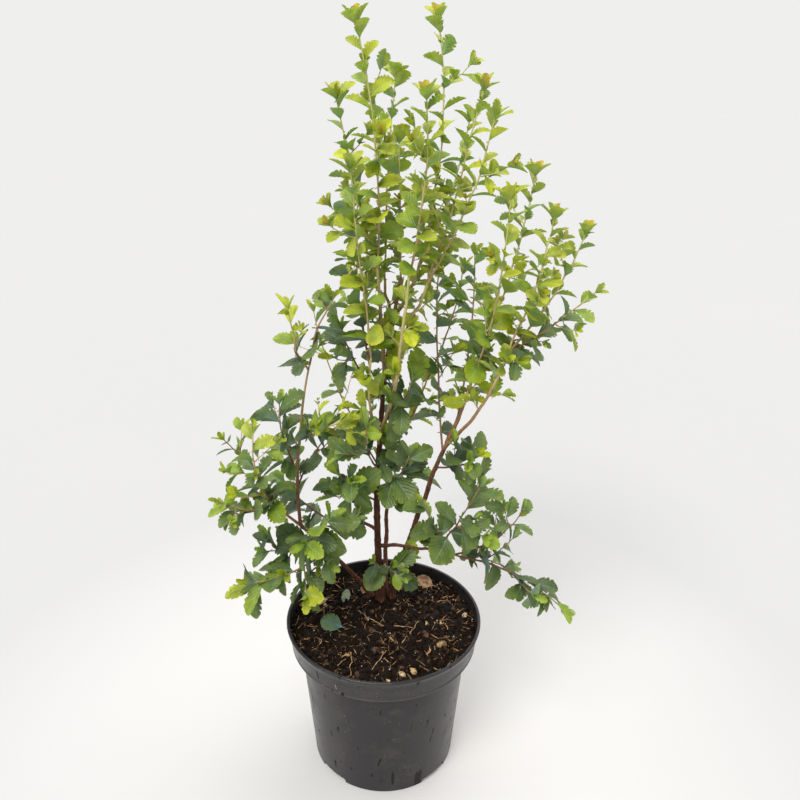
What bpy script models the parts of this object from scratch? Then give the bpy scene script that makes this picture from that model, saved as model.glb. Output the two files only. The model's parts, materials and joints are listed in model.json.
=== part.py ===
"""Spirea shrub in a round nursery pot: pot, compost, stems and boughs, and leafy shoots.

Metres, +Z up. The origin is the middle of the pot's flat underside, +X runs to the right
and -Y is the front. Every stem, bough and leafy shoot is worked out from its foot, its tip,
its bow and its thickness.
"""

import math
import random
from collections import namedtuple

import bmesh
import bpy
from mathutils import Matrix, Vector
from mathutils.bvhtree import BVHTree

# Pot: a thin moulded nursery container
POT_HEIGHT = 0.188
RIM_RADIUS = 0.1125
LIP_HEIGHT = 0.0035
LIP_OVERHANG = 0.0015
COLLAR_HEIGHT = 0.030
COLLAR_FOOT_RADIUS = 0.1073
BODY_TOP_RADIUS = 0.0970
BASE_RADIUS = 0.0843
BASE_CHAMFER = 0.0015
WALL = 0.0014
FLOOR = 0.0025
POT_SEGMENTS = 32
POT_SMOOTH_ANGLE = math.radians(35)
NOTCHES = 4
NOTCH_ANGLE = math.radians(26)
NOTCH_HEIGHT = 0.006
NOTCH_DEPTH = 0.012

# Compost
SOIL_LEVEL = 0.178
SOIL_RINGS = 4
SOIL_ROUGHNESS = 0.0018
SOIL_RIM_DROP = 0.002
SOIL_FLAT_RADIUS = 0.036
SHOULDER_GAP = 0.0006

# Gaps between neighbouring pieces, and how a limb's start is looked for along its path
SEAT_GAP = 0.0003
CLEAR = 0.0004
START_STEP = 0.0002
LATEST_START = 0.5

# Stems and boughs
STEMS_AT = Vector((0.000, 0.045, SOIL_LEVEL + SEAT_GAP))
STEM_SIDES = 8
BOUGH_SIDES = 6
LIMB_STEP = 0.030
FLARE = 0.55
FLARE_HEIGHT = 0.012
LIMB_SMOOTH_ANGLE = math.radians(40)
NEAR_Y = 0.8

# Leafy shoots: stems and side twigs
SHOOT_FOOT_RADIUS = 0.0018
SHOOT_TIP_RADIUS = 0.0011
TWIG_RADIUS = 0.0011
TWIG_SIDES = 3
SHOOT_STEP = 0.045
TWIG_STEP = 0.060
GOLDEN_TURN = math.radians(137.5)
TWIG_LEAN = math.radians(52)
TWIG_SAG = 0.06
TWIG_PLACE = 0.6
LAST_TWIG = 0.85
LOW_TWIG_SIZE = 1.1
TIP_TWIG_SIZE = 0.6
TWIG_SIZES = (0.85, 1.15)
TURNS_TRIED = (0, 24, -24, 48, -48, 75, -75, 105)

# Where the leaves stand: their lean off the twig, droop, turn and size from foot to tip
LEAF_PLACE = 0.75
LAST_LEAF = 0.96
FEWEST_LEAVES = 2
TWIG_AGE = 0.45
TWIG_CROWDING = 0.87
LEAF_SIZES = (0.85, 1.12)
LEAF_TURN_SPREAD = 0.3
LOW_LEAF_LEAN = math.radians(76)
TIP_LEAF_LEAN = math.radians(36)
END_LEAF_LEAN = math.radians(12)
END_LEAF_SIZE = 0.9
DROOP_LOSS = 0.7
OUTWARD_FACING = 0.5
STEEP = 0.1
LEAF_ROLL = 0.5
SHORTER = (1.0, 0.82)

# A leaf: wedge-shaped foot, widest past its middle, folded up along the midrib.
# The solids carry fewer than the plant, by LEAF_THINNING, and larger, by LEAF_SCALE.
LEAF_THINNING = 2.1
LEAF_SCALE = 1.22
LEAF_WIDTH = 0.76
WIDEST_AT = 0.56
LEAF_FOLD = math.radians(17)
LEAF_THICKNESS = 0.030
LEAF_ROOT = 0.0005
LEAF_SUNK = 0.0001
END_LEAF_SUNK = 0.003
TIP_SWELL = 1.5

# Limbs: the limb each leaves, how far along it, tip, bow at the middle, foot and tip radius
Limb = namedtuple("Limb", "name parent at tip bow foot_radius tip_radius")
LIMBS = (
    Limb("main_stem", None, (-0.003, -0.005), (0.018, 0.063, 0.572), (-0.013, 0.000, 0), 0.0045, 0.0023),
    Limb("right_stem", None, (0.009, 0.000), (0.070, 0.018, 0.406), (-0.004, 0.000, 0), 0.0038, 0.0028),
    Limb("left_stem", None, (-0.014, 0.003), (-0.117, 0.008, 0.326), (0.000, 0.004, 0.004), 0.0030, 0.0018),
    Limb("back_stem", None, (0.002, 0.011), (0.010, 0.118, 0.350), (-0.002, 0.012, 0), 0.0030, 0.0020),
    Limb("tall_left_bough", "main_stem", 0.73, (-0.006, 0.034, 0.589), (0.000, -0.003, 0), 0.0026, 0.0017),
    Limb("thin_left_bough", "main_stem", 0.52, (-0.013, 0.028, 0.496), (-0.006, -0.005, 0), 0.0018, 0.0014),
    Limb("pale_bough", "main_stem", 0.55, (0.024, -0.005, 0.591), (0.005, -0.010, 0), 0.0024, 0.0016),
    Limb("crown_back_bough", "main_stem", 0.86, (0.002, 0.090, 0.592), (-0.003, 0.004, 0), 0.0018, 0.0014),
    Limb("tall_right_bough", "main_stem", 0.90, (0.038, 0.082, 0.583), (0.002, 0.003, -0.006),
         0.0022, 0.0017),
    Limb("mid_right_bough", "main_stem", 0.82, (0.043, 0.015, 0.579), (0.003, -0.006, -0.006),
         0.0022, 0.0016),
    Limb("right_upright", "right_stem", 1.00, (0.096, 0.026, 0.484), (0.002, 0.000, 0), 0.0024, 0.0018),
    Limb("right_arc", "right_stem", 0.97, (0.126, -0.012, 0.528), (0.006, -0.011, -0.002), 0.0020, 0.0014),
    Limb("low_right_bough", "main_stem", 0.19, (0.085, -0.004, 0.271), (0.002, -0.013, 0.013),
         0.0022, 0.0015),
    Limb("left_upright", "left_stem", 0.78, (-0.078, 0.032, 0.487), (-0.007, 0.000, 0), 0.0020, 0.0014),
    Limb("back_left_bough", "main_stem", 0.24, (-0.073, 0.090, 0.264), (-0.004, 0.010, 0.006),
         0.0020, 0.0014),
    Limb("rear_right_bough", "back_stem", 1.00, (0.052, 0.132, 0.430), (0.006, 0.006, 0), 0.0019, 0.0014),
)

# Shoots: limb and place on it, tip, bow, leaf length low and high, leaf spacing, side twigs
# and their length, and how far the low leaves droop
Shoot = namedtuple("Shoot", "name limb at tip bow low_leaf top_leaf spacing twigs twig_length droop tint")
SHOOTS = (
    Shoot("crown_tall_left", "tall_left_bough", 1.0, (-0.024, 0.030, 0.812), (0.008, -0.002, 0),
          0.027, 0.020, 0.0130, 3, 0.050, 0.05, "fresh"),
    Shoot("crown_left_fork", "tall_left_bough", 0.93, (-0.046, 0.070, 0.748), (-0.002, 0.012, 0),
          0.026, 0.019, 0.0130, 2, 0.045, 0.05, "fresh"),
    Shoot("crown_left_front", "thin_left_bough", 1.0, (-0.030, -0.010, 0.690), (0.000, -0.004, 0),
          0.028, 0.020, 0.0140, 2, 0.045, 0.10, "fresh"),
    Shoot("crown_back_left", "thin_left_bough", 0.90, (-0.024, 0.115, 0.670), (-0.010, 0.016, 0),
          0.030, 0.021, 0.0140, 2, 0.045, 0.10, "mid"),
    Shoot("crown_front", "pale_bough", 1.0, (0.037, -0.022, 0.752), (0.006, -0.005, 0),
          0.028, 0.020, 0.0130, 2, 0.045, 0.05, "fresh"),
    Shoot("crown_back", "crown_back_bough", 1.0, (0.012, 0.128, 0.765), (-0.002, 0.005, 0),
          0.027, 0.020, 0.0135, 3, 0.045, 0.05, "fresh"),
    Shoot("crown_leader", "main_stem", 1.0, (0.016, 0.088, 0.705), (0.000, -0.004, 0),
          0.027, 0.020, 0.0140, 1, 0.035, 0.10, "fresh"),
    Shoot("crown_tall_right", "tall_right_bough", 1.0, (0.053, 0.095, 0.818), (0.013, 0.003, 0),
          0.027, 0.020, 0.0130, 3, 0.045, 0.05, "fresh"),
    Shoot("crown_right_fork", "tall_right_bough", 0.92, (0.086, 0.092, 0.725), (0.006, 0.004, -0.004),
          0.026, 0.019, 0.0135, 1, 0.040, 0.05, "fresh"),
    Shoot("crown_right_front", "mid_right_bough", 1.0, (0.098, -0.010, 0.735), (0.007, -0.004, 0),
          0.027, 0.019, 0.0135, 2, 0.045, 0.05, "fresh"),
    Shoot("crown_right_inner", "mid_right_bough", 0.90, (0.092, 0.034, 0.757), (0.004, 0.010, 0),
          0.027, 0.019, 0.0140, 1, 0.040, 0.05, "fresh"),
    Shoot("right_far", "right_upright", 1.0, (0.198, -0.030, 0.583), (0.000, -0.004, -0.005),
          0.030, 0.019, 0.0130, 2, 0.045, 0.15, "mid"),
    Shoot("right_front_shoot", "right_upright", 0.75, (0.114, -0.026, 0.668), (0.005, -0.014, 0),
          0.028, 0.019, 0.0140, 2, 0.040, 0.10, "fresh"),
    Shoot("right_back_shoot", "right_upright", 0.95, (0.160, 0.112, 0.670), (0.010, 0.018, 0),
          0.029, 0.019, 0.0135, 3, 0.050, 0.10, "fresh"),
    Shoot("right_arc_shoot", "right_arc", 1.0, (0.160, 0.000, 0.645), (0.004, -0.003, 0),
          0.026, 0.018, 0.0125, 2, 0.040, 0.05, "fresh"),
    Shoot("right_arc_fork", "right_arc", 0.92, (0.202, 0.044, 0.622), (0.010, 0.014, -0.006),
          0.026, 0.018, 0.0130, 2, 0.040, 0.10, "fresh"),
    Shoot("inner_back_shoot", "right_stem", 0.93, (0.066, 0.108, 0.640), (-0.006, 0.026, 0),
          0.029, 0.020, 0.0165, 2, 0.045, 0.15, "mid"),
    Shoot("inner_right_shoot", "right_upright", 0.25, (0.100, 0.112, 0.585), (0.008, 0.024, -0.004),
          0.032, 0.022, 0.0155, 2, 0.045, 0.20, "mid"),
    Shoot("low_right_tip", "low_right_bough", 1.0, (0.196, -0.036, 0.226), (0.004, -0.006, 0.014),
          0.026, 0.024, 0.0115, 3, 0.045, 0.35, "dark"),
    Shoot("low_right_rise", "low_right_bough", 0.92, (0.150, -0.012, 0.335), (0.008, 0.002, -0.010),
          0.030, 0.021, 0.0115, 3, 0.045, 0.30, "dark"),
    Shoot("low_right_inner", "low_right_bough", 0.70, (0.100, -0.030, 0.374), (0.000, -0.004, 0),
          0.034, 0.026, 0.0120, 3, 0.045, 0.30, "dark"),
    Shoot("right_stem_spray", "right_stem", 0.84, (0.098, -0.004, 0.398), (0.006, 0.000, -0.004),
          0.034, 0.028, 0.0120, 2, 0.040, 0.35, "dark"),
    Shoot("left_far_low", "left_stem", 1.0, (-0.168, -0.046, 0.366), (-0.002, -0.002, -0.004),
          0.026, 0.021, 0.0115, 2, 0.040, 0.30, "mid"),
    Shoot("left_far_top", "left_stem", 0.96, (-0.136, -0.004, 0.424), (-0.010, -0.008, 0),
          0.028, 0.021, 0.0130, 2, 0.040, 0.20, "mid"),
    Shoot("left_far_back", "left_stem", 0.90, (-0.176, 0.034, 0.398), (-0.004, 0.016, 0),
          0.028, 0.020, 0.0120, 3, 0.045, 0.25, "mid"),
    Shoot("low_left_tip", "left_stem", 0.48, (-0.143, -0.040, 0.262), (-0.004, -0.006, -0.006),
          0.038, 0.034, 0.0115, 2, 0.048, 0.50, "mid"),
    Shoot("low_left_spray", "left_stem", 0.58, (-0.136, 0.020, 0.262), (-0.002, 0.006, -0.008),
          0.034, 0.024, 0.0110, 3, 0.045, 0.35, "dark"),
    Shoot("back_left_tip", "back_left_bough", 1.0, (-0.125, 0.118, 0.300), (-0.004, 0.004, -0.004),
          0.034, 0.026, 0.0115, 3, 0.055, 0.35, "dark"),
    Shoot("left_top", "left_upright", 1.0, (-0.028, 0.046, 0.590), (-0.007, -0.002, 0.004),
          0.034, 0.022, 0.0175, 1, 0.035, 0.35, "mid"),
    Shoot("left_top_side", "left_upright", 0.97, (-0.096, 0.018, 0.552), (-0.003, -0.003, -0.004),
          0.034, 0.024, 0.0105, 0, 0.030, 0.20, "bright"),
    Shoot("left_mid_front", "left_upright", 0.55, (-0.042, -0.004, 0.440), (0.002, -0.006, 0.002),
          0.034, 0.022, 0.0110, 3, 0.040, 0.30, "bright"),
    Shoot("left_mid_side", "left_upright", 0.35, (-0.112, 0.032, 0.442), (-0.006, 0.002, 0),
          0.036, 0.026, 0.0115, 2, 0.040, 0.35, "dark"),
    Shoot("left_mid_back", "left_upright", 0.25, (-0.052, 0.086, 0.392), (-0.004, 0.010, 0),
          0.034, 0.026, 0.0120, 3, 0.050, 0.30, "dark"),
    Shoot("left_low_front", "left_stem", 0.66, (-0.058, -0.020, 0.330), (-0.004, -0.008, 0),
          0.036, 0.028, 0.0110, 3, 0.045, 0.35, "dark"),
    Shoot("centre_left_spray", "main_stem", 0.34, (-0.048, 0.008, 0.368), (-0.006, -0.006, 0.004),
          0.036, 0.030, 0.0145, 2, 0.040, 0.35, "dark"),
    Shoot("centre_right_spray", "main_stem", 0.36, (0.028, 0.022, 0.384), (0.004, -0.006, 0),
          0.036, 0.030, 0.0115, 2, 0.040, 0.45, "dark"),
    Shoot("centre_upper_spray", "main_stem", 0.56, (0.030, 0.030, 0.470), (0.006, -0.002, 0),
          0.036, 0.030, 0.0125, 1, 0.036, 0.40, "dark"),
    Shoot("centre_front_spray", "main_stem", 0.44, (-0.018, -0.004, 0.430), (-0.004, -0.006, 0),
          0.036, 0.030, 0.0125, 1, 0.040, 0.40, "dark"),
    Shoot("centre_top_spray", "main_stem", 0.66, (-0.044, 0.052, 0.520), (-0.008, 0.004, 0),
          0.036, 0.028, 0.0125, 1, 0.040, 0.35, "dark"),
    Shoot("foot_spray", "main_stem", 0.12, (0.014, 0.006, 0.250), (0.000, -0.006, 0.004),
          0.034, 0.028, 0.0100, 1, 0.034, 0.45, "dark"),
    Shoot("rear_left_shoot", "back_stem", 0.72, (-0.082, 0.146, 0.510), (-0.014, 0.012, 0),
          0.032, 0.021, 0.0130, 3, 0.055, 0.25, "mid"),
    Shoot("rear_right_shoot", "rear_right_bough", 1.0, (0.092, 0.158, 0.560), (0.008, 0.006, 0),
          0.032, 0.021, 0.0130, 3, 0.055, 0.25, "mid"),
)

# Leaf colours by how old the shoot is, dark old wood to bright new tips
LEAF_COLOURS = {
    "dark": (0.060, 0.130, 0.045),
    "mid": (0.110, 0.210, 0.045),
    "fresh": (0.200, 0.330, 0.050),
    "bright": (0.350, 0.520, 0.050),
}

Solid = namedtuple("Solid", "points faces")
Run = namedtuple("Run", "path first step solid")


class Path:
    """A run from start to tip that bows sideways at its middle."""

    def __init__(self, start, tip, bow):
        self.start, self.tip, self.bow = Vector(start), Vector(tip), Vector(bow)

    def at(self, share):
        return self.start.lerp(self.tip, share) + self.bow * (4 * share * (1 - share))

    def heading(self, share):
        return (self.tip - self.start + self.bow * (4 * (1 - 2 * share))).normalized()

    def length(self):
        return (self.tip - self.start).length


def clear_scene():
    for obj in list(bpy.data.objects):
        bpy.data.objects.remove(obj, do_unlink=True)


def make_material(name, colour, roughness):
    material = bpy.data.materials.new(name)
    material.use_nodes = True
    shader = material.node_tree.nodes["Principled BSDF"]
    shader.inputs["Base Color"].default_value = (*colour, 1)
    shader.inputs["Roughness"].default_value = roughness
    shader.inputs["Metallic"].default_value = 0
    return material


def add_object(name, solid, material, smooth_angle=None):
    """Puts a closed shape in the scene as one object, faces outward."""
    mesh = bpy.data.meshes.new(name)
    build = bmesh.new()
    corners = [build.verts.new(point) for point in solid.points]
    for face in solid.faces:
        build.faces.new([corners[index] for index in face])
    bmesh.ops.recalc_face_normals(build, faces=build.faces)
    build.to_mesh(mesh)
    build.free()
    if smooth_angle is not None:
        mesh.shade_smooth()
        mesh.set_sharp_from_angle(angle=smooth_angle)
    mesh.materials.append(material)
    obj = bpy.data.objects.new(name, mesh)
    bpy.context.scene.collection.objects.link(obj)
    return obj


def turned(profile, segments, height=None):
    """A profile of (radius, height) from the axis round to the axis, turned about +Z."""
    points, faces, rings = [], [], []
    for radius, z in profile:
        if radius == 0:
            points.append(Vector((0, 0, z)))
            rings.append([len(points) - 1] * segments)
            continue
        rings.append(list(range(len(points), len(points) + segments)))
        for step in range(segments):
            angle = math.tau * step / segments
            x, y = radius * math.cos(angle), radius * math.sin(angle)
            points.append(Vector((x, y, height(x, y, z) if height else z)))
    for low, high in zip(rings, rings[1:]):
        for step in range(segments):
            after = (step + 1) % segments
            corners = (low[step], low[after], high[after], high[step])
            faces.append(tuple(dict.fromkeys(corners)))
    return Solid(points, faces)


def pot_profile():
    """Outer side from the middle of the underside up to the lip, then the inner side down."""
    collar_foot = POT_HEIGHT - COLLAR_HEIGHT
    lip_foot = POT_HEIGHT - LIP_HEIGHT
    collar_top = RIM_RADIUS - LIP_OVERHANG
    return (
        (0, 0),
        (BASE_RADIUS - BASE_CHAMFER, 0),
        (BASE_RADIUS, BASE_CHAMFER),
        (BODY_TOP_RADIUS, collar_foot + WALL),
        (COLLAR_FOOT_RADIUS - WALL, collar_foot),
        (COLLAR_FOOT_RADIUS, collar_foot),
        (collar_top, lip_foot),
        (RIM_RADIUS, lip_foot + LIP_OVERHANG / 2),
        (RIM_RADIUS, POT_HEIGHT - LIP_OVERHANG / 2),
        (RIM_RADIUS - LIP_OVERHANG / 2, POT_HEIGHT),
        (RIM_RADIUS - 2 * LIP_OVERHANG, POT_HEIGHT),
        (collar_top - WALL, lip_foot),
        (COLLAR_FOOT_RADIUS - WALL, collar_foot + 2 * WALL),
        (BODY_TOP_RADIUS - WALL, collar_foot + WALL),
        (BASE_RADIUS - WALL, FLOOR),
        (0, FLOOR),
    )


def make_pot(material):
    """The pot, with the drain notches cut through the foot of its wall."""
    pot = add_object("pot", turned(pot_profile(), POT_SEGMENTS), material, POT_SMOOTH_ANGLE)
    for number in range(NOTCHES):
        middle = math.tau * (number + 0.5) / NOTCHES
        corners = []
        for z in (-NOTCH_HEIGHT, NOTCH_HEIGHT):
            for radius in (BASE_RADIUS - NOTCH_DEPTH, BASE_RADIUS + NOTCH_DEPTH):
                for side in (-0.5, 0.5):
                    angle = middle + side * NOTCH_ANGLE
                    corners.append(Vector((radius * math.cos(angle), radius * math.sin(angle), z)))
        faces = ((0, 1, 3, 2), (4, 6, 7, 5), (0, 4, 5, 1), (2, 3, 7, 6), (0, 2, 6, 4), (1, 5, 7, 3))
        cutter = add_object(f"notch_cutter_{number + 1}", Solid(corners, faces), material)
        cutter.hide_render = True
        cutter.display_type = "WIRE"
        cut = pot.modifiers.new(f"Notch {number + 1}", "BOOLEAN")
        cut.operation = "DIFFERENCE"
        cut.object = cutter


def soil_profile():
    """Fills the pot, a seat gap clear of its floor, wall and collar."""
    shoulder = POT_HEIGHT - COLLAR_HEIGHT + WALL + SHOULDER_GAP
    top_radius = COLLAR_FOOT_RADIUS - WALL - SEAT_GAP
    rings = [(top_radius * (SOIL_RINGS - ring) / SOIL_RINGS, SOIL_LEVEL) for ring in range(SOIL_RINGS)]
    return (
        (0, FLOOR + SEAT_GAP),
        (BASE_RADIUS - WALL - SEAT_GAP, FLOOR + SEAT_GAP),
        (BODY_TOP_RADIUS - WALL - SEAT_GAP, shoulder),
        (top_radius, shoulder + WALL),
        *rings,
        (0, SOIL_LEVEL),
    )


def make_soil(material):
    """The compost: uneven on top, level round the stems, a little lower at the rim."""
    rng = random.Random("compost")

    def height(x, y, z):
        if z < SOIL_LEVEL or math.hypot(x - STEMS_AT.x, y - STEMS_AT.y) < SOIL_FLAT_RADIUS:
            return z
        rise = SOIL_ROUGHNESS * rng.uniform(-1, 1)
        return z + rise - SOIL_RIM_DROP * (math.hypot(x, y) / COLLAR_FOOT_RADIUS) ** 2

    return add_object("soil", turned(soil_profile(), POT_SEGMENTS, height), material)


def ring_shares(path, first, step):
    """Where a tube from the first share of a path to its tip has its rings."""
    count = max(2, round(path.length() * (1 - first) / step) + 1)
    return [first + (1 - first) * ring / (count - 1) for ring in range(count)]


def tube(path, first, radii, sides, step, level_foot=False):
    """A tapering limb from the first share of a path to its tip, with flat ends."""
    shares = ring_shares(path, first, step)
    across = Vector((0, 1, 0)) if abs(path.heading(0.5).y) < NEAR_Y else Vector((1, 0, 0))
    points, faces = [], []
    for ring, share in enumerate(shares):
        heading = Vector((0, 0, 1)) if level_foot and ring == 0 else path.heading(share)
        right = heading.cross(across).normalized()
        front = heading.cross(right).normalized()
        middle = path.at(share)
        radius = radii(share)
        for side in range(sides):
            angle = math.tau * side / sides
            points.append(middle + radius * (math.cos(angle) * right + math.sin(angle) * front))
    for ring in range(len(shares) - 1):
        for side in range(sides):
            low, after = ring * sides, (side + 1) % sides
            faces.append((low + side, low + after, low + sides + after, low + sides + side))
    faces.append(tuple(reversed(range(sides))))
    faces.append(tuple(range(len(points) - sides, len(points))))
    return Solid(points, faces)


def middle_of(run, share):
    """The middle of a shoot's tube, which runs straight from ring to ring."""
    shares = ring_shares(run.path, run.first, run.step)
    place = (share - run.first) / (1 - run.first) * (len(shares) - 1)
    low = min(int(place), len(shares) - 2)
    return run.path.at(shares[low]).lerp(run.path.at(shares[low + 1]), place - low)


def tree_of(solids):
    """One search tree over the faces of many shapes."""
    points, faces = [], []
    for solid in solids:
        first = len(points)
        points.extend(solid.points)
        faces.extend(tuple(first + index for index in face) for face in solid.faces)
    return BVHTree.FromPolygons(points, faces)


def touches(solid, others):
    return bool(tree_of([solid]).overlap(others))


def first_clear_share(name, path, radii, sides, step, others):
    """The share of the path from where its tube is a seat gap clear of all that stands already."""
    share = 0.0
    while share < LATEST_START:
        middle, ahead = path.at(share), path.heading(share) * CLEAR
        guard = tube(path, share, lambda place: radii(place) + CLEAR, sides, step)
        guard = Solid([point - ahead if index < sides else point
                       for index, point in enumerate(guard.points)], guard.faces)
        if is_outside(middle, others) and not touches(guard, others):
            return share
        share += START_STEP / path.length()
    raise ValueError(f"{name} runs through a neighbour")


def is_outside(spot, others):
    hit, normal, _, _ = others.find_nearest(spot)
    return (spot - hit).dot(normal) > 0


def flared(limb, height):
    """Radius along a limb. A stem that leaves the compost has a root flare."""

    def radius(share):
        plain = limb.foot_radius + (limb.tip_radius - limb.foot_radius) * share
        if limb.parent:
            return plain
        return plain * (1 + FLARE * math.exp(-share * height / FLARE_HEIGHT))

    return radius


def make_limbs(material):
    """Every stem and bough, each clear of the one it leaves."""
    paths, solids = {}, {}
    for limb in LIMBS:
        if limb.parent:
            start = paths[limb.parent].at(limb.at)
        else:
            start = STEMS_AT + Vector((*limb.at, 0))
        path = Path(start, limb.tip, limb.bow)
        radii = flared(limb, path.length())
        first, sides = 0.0, STEM_SIDES
        if limb.parent:
            sides = BOUGH_SIDES
            built = tree_of(solids.values())
            first = first_clear_share(limb.name, path, radii, sides, LIMB_STEP, built)
        solid = tube(path, first, radii, sides, LIMB_STEP, level_foot=not limb.parent)
        paths[limb.name], solids[limb.name] = path, solid
        add_object(limb.name, solid, material, LIMB_SMOOTH_ANGLE)
    return paths, solids


def leaf(foot, along, up, length, swell=0.0):
    """A folded leaf of eight faces, its root edge sunk in the twig. It may be swollen as a guard."""
    side = along.cross(up).normalized()
    up = side.cross(along).normalized()
    half = length * LEAF_WIDTH / 2 + swell
    root, thick = LEAF_ROOT / 2 + swell, length * LEAF_THICKNESS + 2 * swell
    lift = half * math.tan(LEAF_FOLD)
    start = foot - along * (LEAF_SUNK + swell)
    widest = foot + along * length * WIDEST_AT + up * lift
    points = (
        start + up * root,
        start - up * root,
        widest - side * half,
        widest + side * half,
        foot + along * (length + TIP_SWELL * swell),
        foot + along * length / 2 + up * (thick - root / 2),
    )
    faces = ((0, 3, 5), (3, 4, 5), (4, 2, 5), (2, 0, 5), (1, 4, 3), (1, 2, 4), (0, 1, 3), (0, 2, 1))
    return Solid([point.copy() for point in points], faces)


def turned_off(heading, lean, turn):
    """A direction that leans off a heading, turned about it."""
    side = Matrix.Rotation(turn, 3, heading) @ heading.orthogonal().normalized()
    return (heading * math.cos(lean) + side * math.sin(lean)).normalized()


def facing(foot, along, rng):
    """Which way a leaf's upper side looks: up and outward, rolled a little about the midrib."""
    outward = Vector((foot.x - STEMS_AT.x, foot.y - STEMS_AT.y, 0)).normalized()
    up = Vector((0, 0, 1)) + OUTWARD_FACING * outward
    up -= along * up.dot(along)
    if up.length < STEEP:
        up = along.orthogonal()
    return Matrix.Rotation(rng.uniform(-LEAF_ROLL, LEAF_ROLL), 3, along) @ up.normalized()


def shoot_radius(share):
    return SHOOT_FOOT_RADIUS + (SHOOT_TIP_RADIUS - SHOOT_FOOT_RADIUS) * share


def make_shoot_stems(paths, solids):
    """Each shoot's stem and side twigs, the stem first."""
    runs = {}
    built = list(solids.values())
    for shoot in SHOOTS:
        path = Path(paths[shoot.limb].at(shoot.at), shoot.tip, shoot.bow)
        first = first_clear_share(shoot.name, path, shoot_radius, TWIG_SIDES, SHOOT_STEP, tree_of(built))
        stem = tube(path, first, shoot_radius, TWIG_SIDES, SHOOT_STEP)
        built.append(stem)
        runs[shoot.name] = [Run(path, first, SHOOT_STEP, stem)]
    for shoot in SHOOTS:
        others = list(solids.values())
        for name, group in runs.items():
            if name != shoot.name:
                others.extend(run.solid for run in group)
        runs[shoot.name].extend(make_side_twigs(shoot, runs[shoot.name][0], tree_of(others)))
    return runs


def make_side_twigs(shoot, stem, others):
    """Side twigs spread round a shoot's stem, each turned until it is clear of the neighbours."""
    rng = random.Random(shoot.name + " twigs")
    turn = rng.uniform(0, math.tau)
    twigs = []
    for number in range(shoot.twigs):
        share = stem.first + (LAST_TWIG - stem.first) * (number + TWIG_PLACE) / shoot.twigs
        length = shoot.twig_length * (LOW_TWIG_SIZE + (TIP_TWIG_SIZE - LOW_TWIG_SIZE) * share)
        length *= rng.uniform(*TWIG_SIZES)
        foot = middle_of(stem, share)
        for tried in TURNS_TRIED:
            along = turned_off(stem.path.heading(share), TWIG_LEAN, turn + math.radians(tried))
            path = Path(foot, foot + along * length, Vector((0, 0, -TWIG_SAG * length)))
            guard = tube(path, 0.0, lambda _: TWIG_RADIUS + 2 * CLEAR, TWIG_SIDES, TWIG_STEP)
            if not touches(guard, others):
                twig = tube(path, 0.0, lambda _: TWIG_RADIUS, TWIG_SIDES, TWIG_STEP)
                twigs.append(Run(path, 0.0, TWIG_STEP, twig))
                break
        turn += GOLDEN_TURN
    return twigs


def leaf_places(shoot, runs):
    """Where the rule puts leaves: (twig's number, foot, heading, turn, lean, length, droop)."""
    rng = random.Random(shoot.name + " leaves")
    for number, run in enumerate(runs):
        is_stem = number == 0
        spacing = shoot.spacing * LEAF_THINNING * (1.0 if is_stem else TWIG_CROWDING)
        count = max(FEWEST_LEAVES, round(run.path.length() * (1 - run.first) / spacing))
        turn = rng.uniform(0, math.tau)
        for place in range(count):
            share = run.first + (LAST_LEAF - run.first) * (place + LEAF_PLACE) / count
            age = share if is_stem else TWIG_AGE + (1 - TWIG_AGE) * share
            length = shoot.low_leaf + (shoot.top_leaf - shoot.low_leaf) * age
            length *= LEAF_SCALE * rng.uniform(*LEAF_SIZES) * (1.0 if is_stem else TWIG_CROWDING)
            lean = LOW_LEAF_LEAN + (TIP_LEAF_LEAN - LOW_LEAF_LEAN) * age
            droop = shoot.droop * (1 - DROOP_LOSS * age)
            yield number, middle_of(run, share), run.path.heading(share), turn, lean, length, droop
            turn += GOLDEN_TURN + rng.uniform(-LEAF_TURN_SPREAD, LEAF_TURN_SPREAD)
        end = middle_of(run, 1 - END_LEAF_SUNK / run.path.length())
        length = shoot.top_leaf * LEAF_SCALE * END_LEAF_SIZE
        yield number, end, run.path.heading(1.0), turn, END_LEAF_LEAN, length, 0.0


def make_leaves(shoot, runs, others):
    """Leaves along a shoot. One that no turn brings clear of its neighbours is left out."""
    rng = random.Random(shoot.name + " facing")
    leaves = []
    for number, foot, heading, turn, lean, length, droop in leaf_places(shoot, runs):
        own = tree_of(leaves + [run.solid for place, run in enumerate(runs) if place != number])
        for size, tried in ((size, turn_tried) for size in SHORTER for turn_tried in TURNS_TRIED):
            along = turned_off(heading, lean, turn + math.radians(tried))
            along = (along - Vector((0, 0, droop))).normalized()
            up = facing(foot, along, rng)
            guard = leaf(foot, along, up, length * size, CLEAR)
            if not touches(guard, others) and not touches(guard, own):
                leaves.append(leaf(foot, along, up, length * size))
                break
    return leaves


def fuse(name, pieces, material):
    """Joins the closed shapes of a mass of foliage into one solid."""
    stem, *rest = pieces
    whole = add_object(name, stem, material)
    group = bpy.data.collections.new(name + "_pieces")
    bpy.context.scene.collection.children.link(group)
    for number, piece in enumerate(rest):
        part = add_object(f"{name}_piece_{number + 1}", piece, material)
        bpy.context.scene.collection.objects.unlink(part)
        group.objects.link(part)
    union = whole.modifiers.new("Join", "BOOLEAN")
    union.operation = "UNION"
    union.operand_type = "COLLECTION"
    union.collection = group
    graph = bpy.context.evaluated_depsgraph_get()
    fused = bpy.data.meshes.new_from_object(whole.evaluated_get(graph), depsgraph=graph)
    whole.modifiers.remove(union)
    whole.data = fused
    fused.name = name
    for part in list(group.objects):
        bpy.data.objects.remove(part, do_unlink=True)
    bpy.data.collections.remove(group)
    keep_outer_shell(fused)


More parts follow.
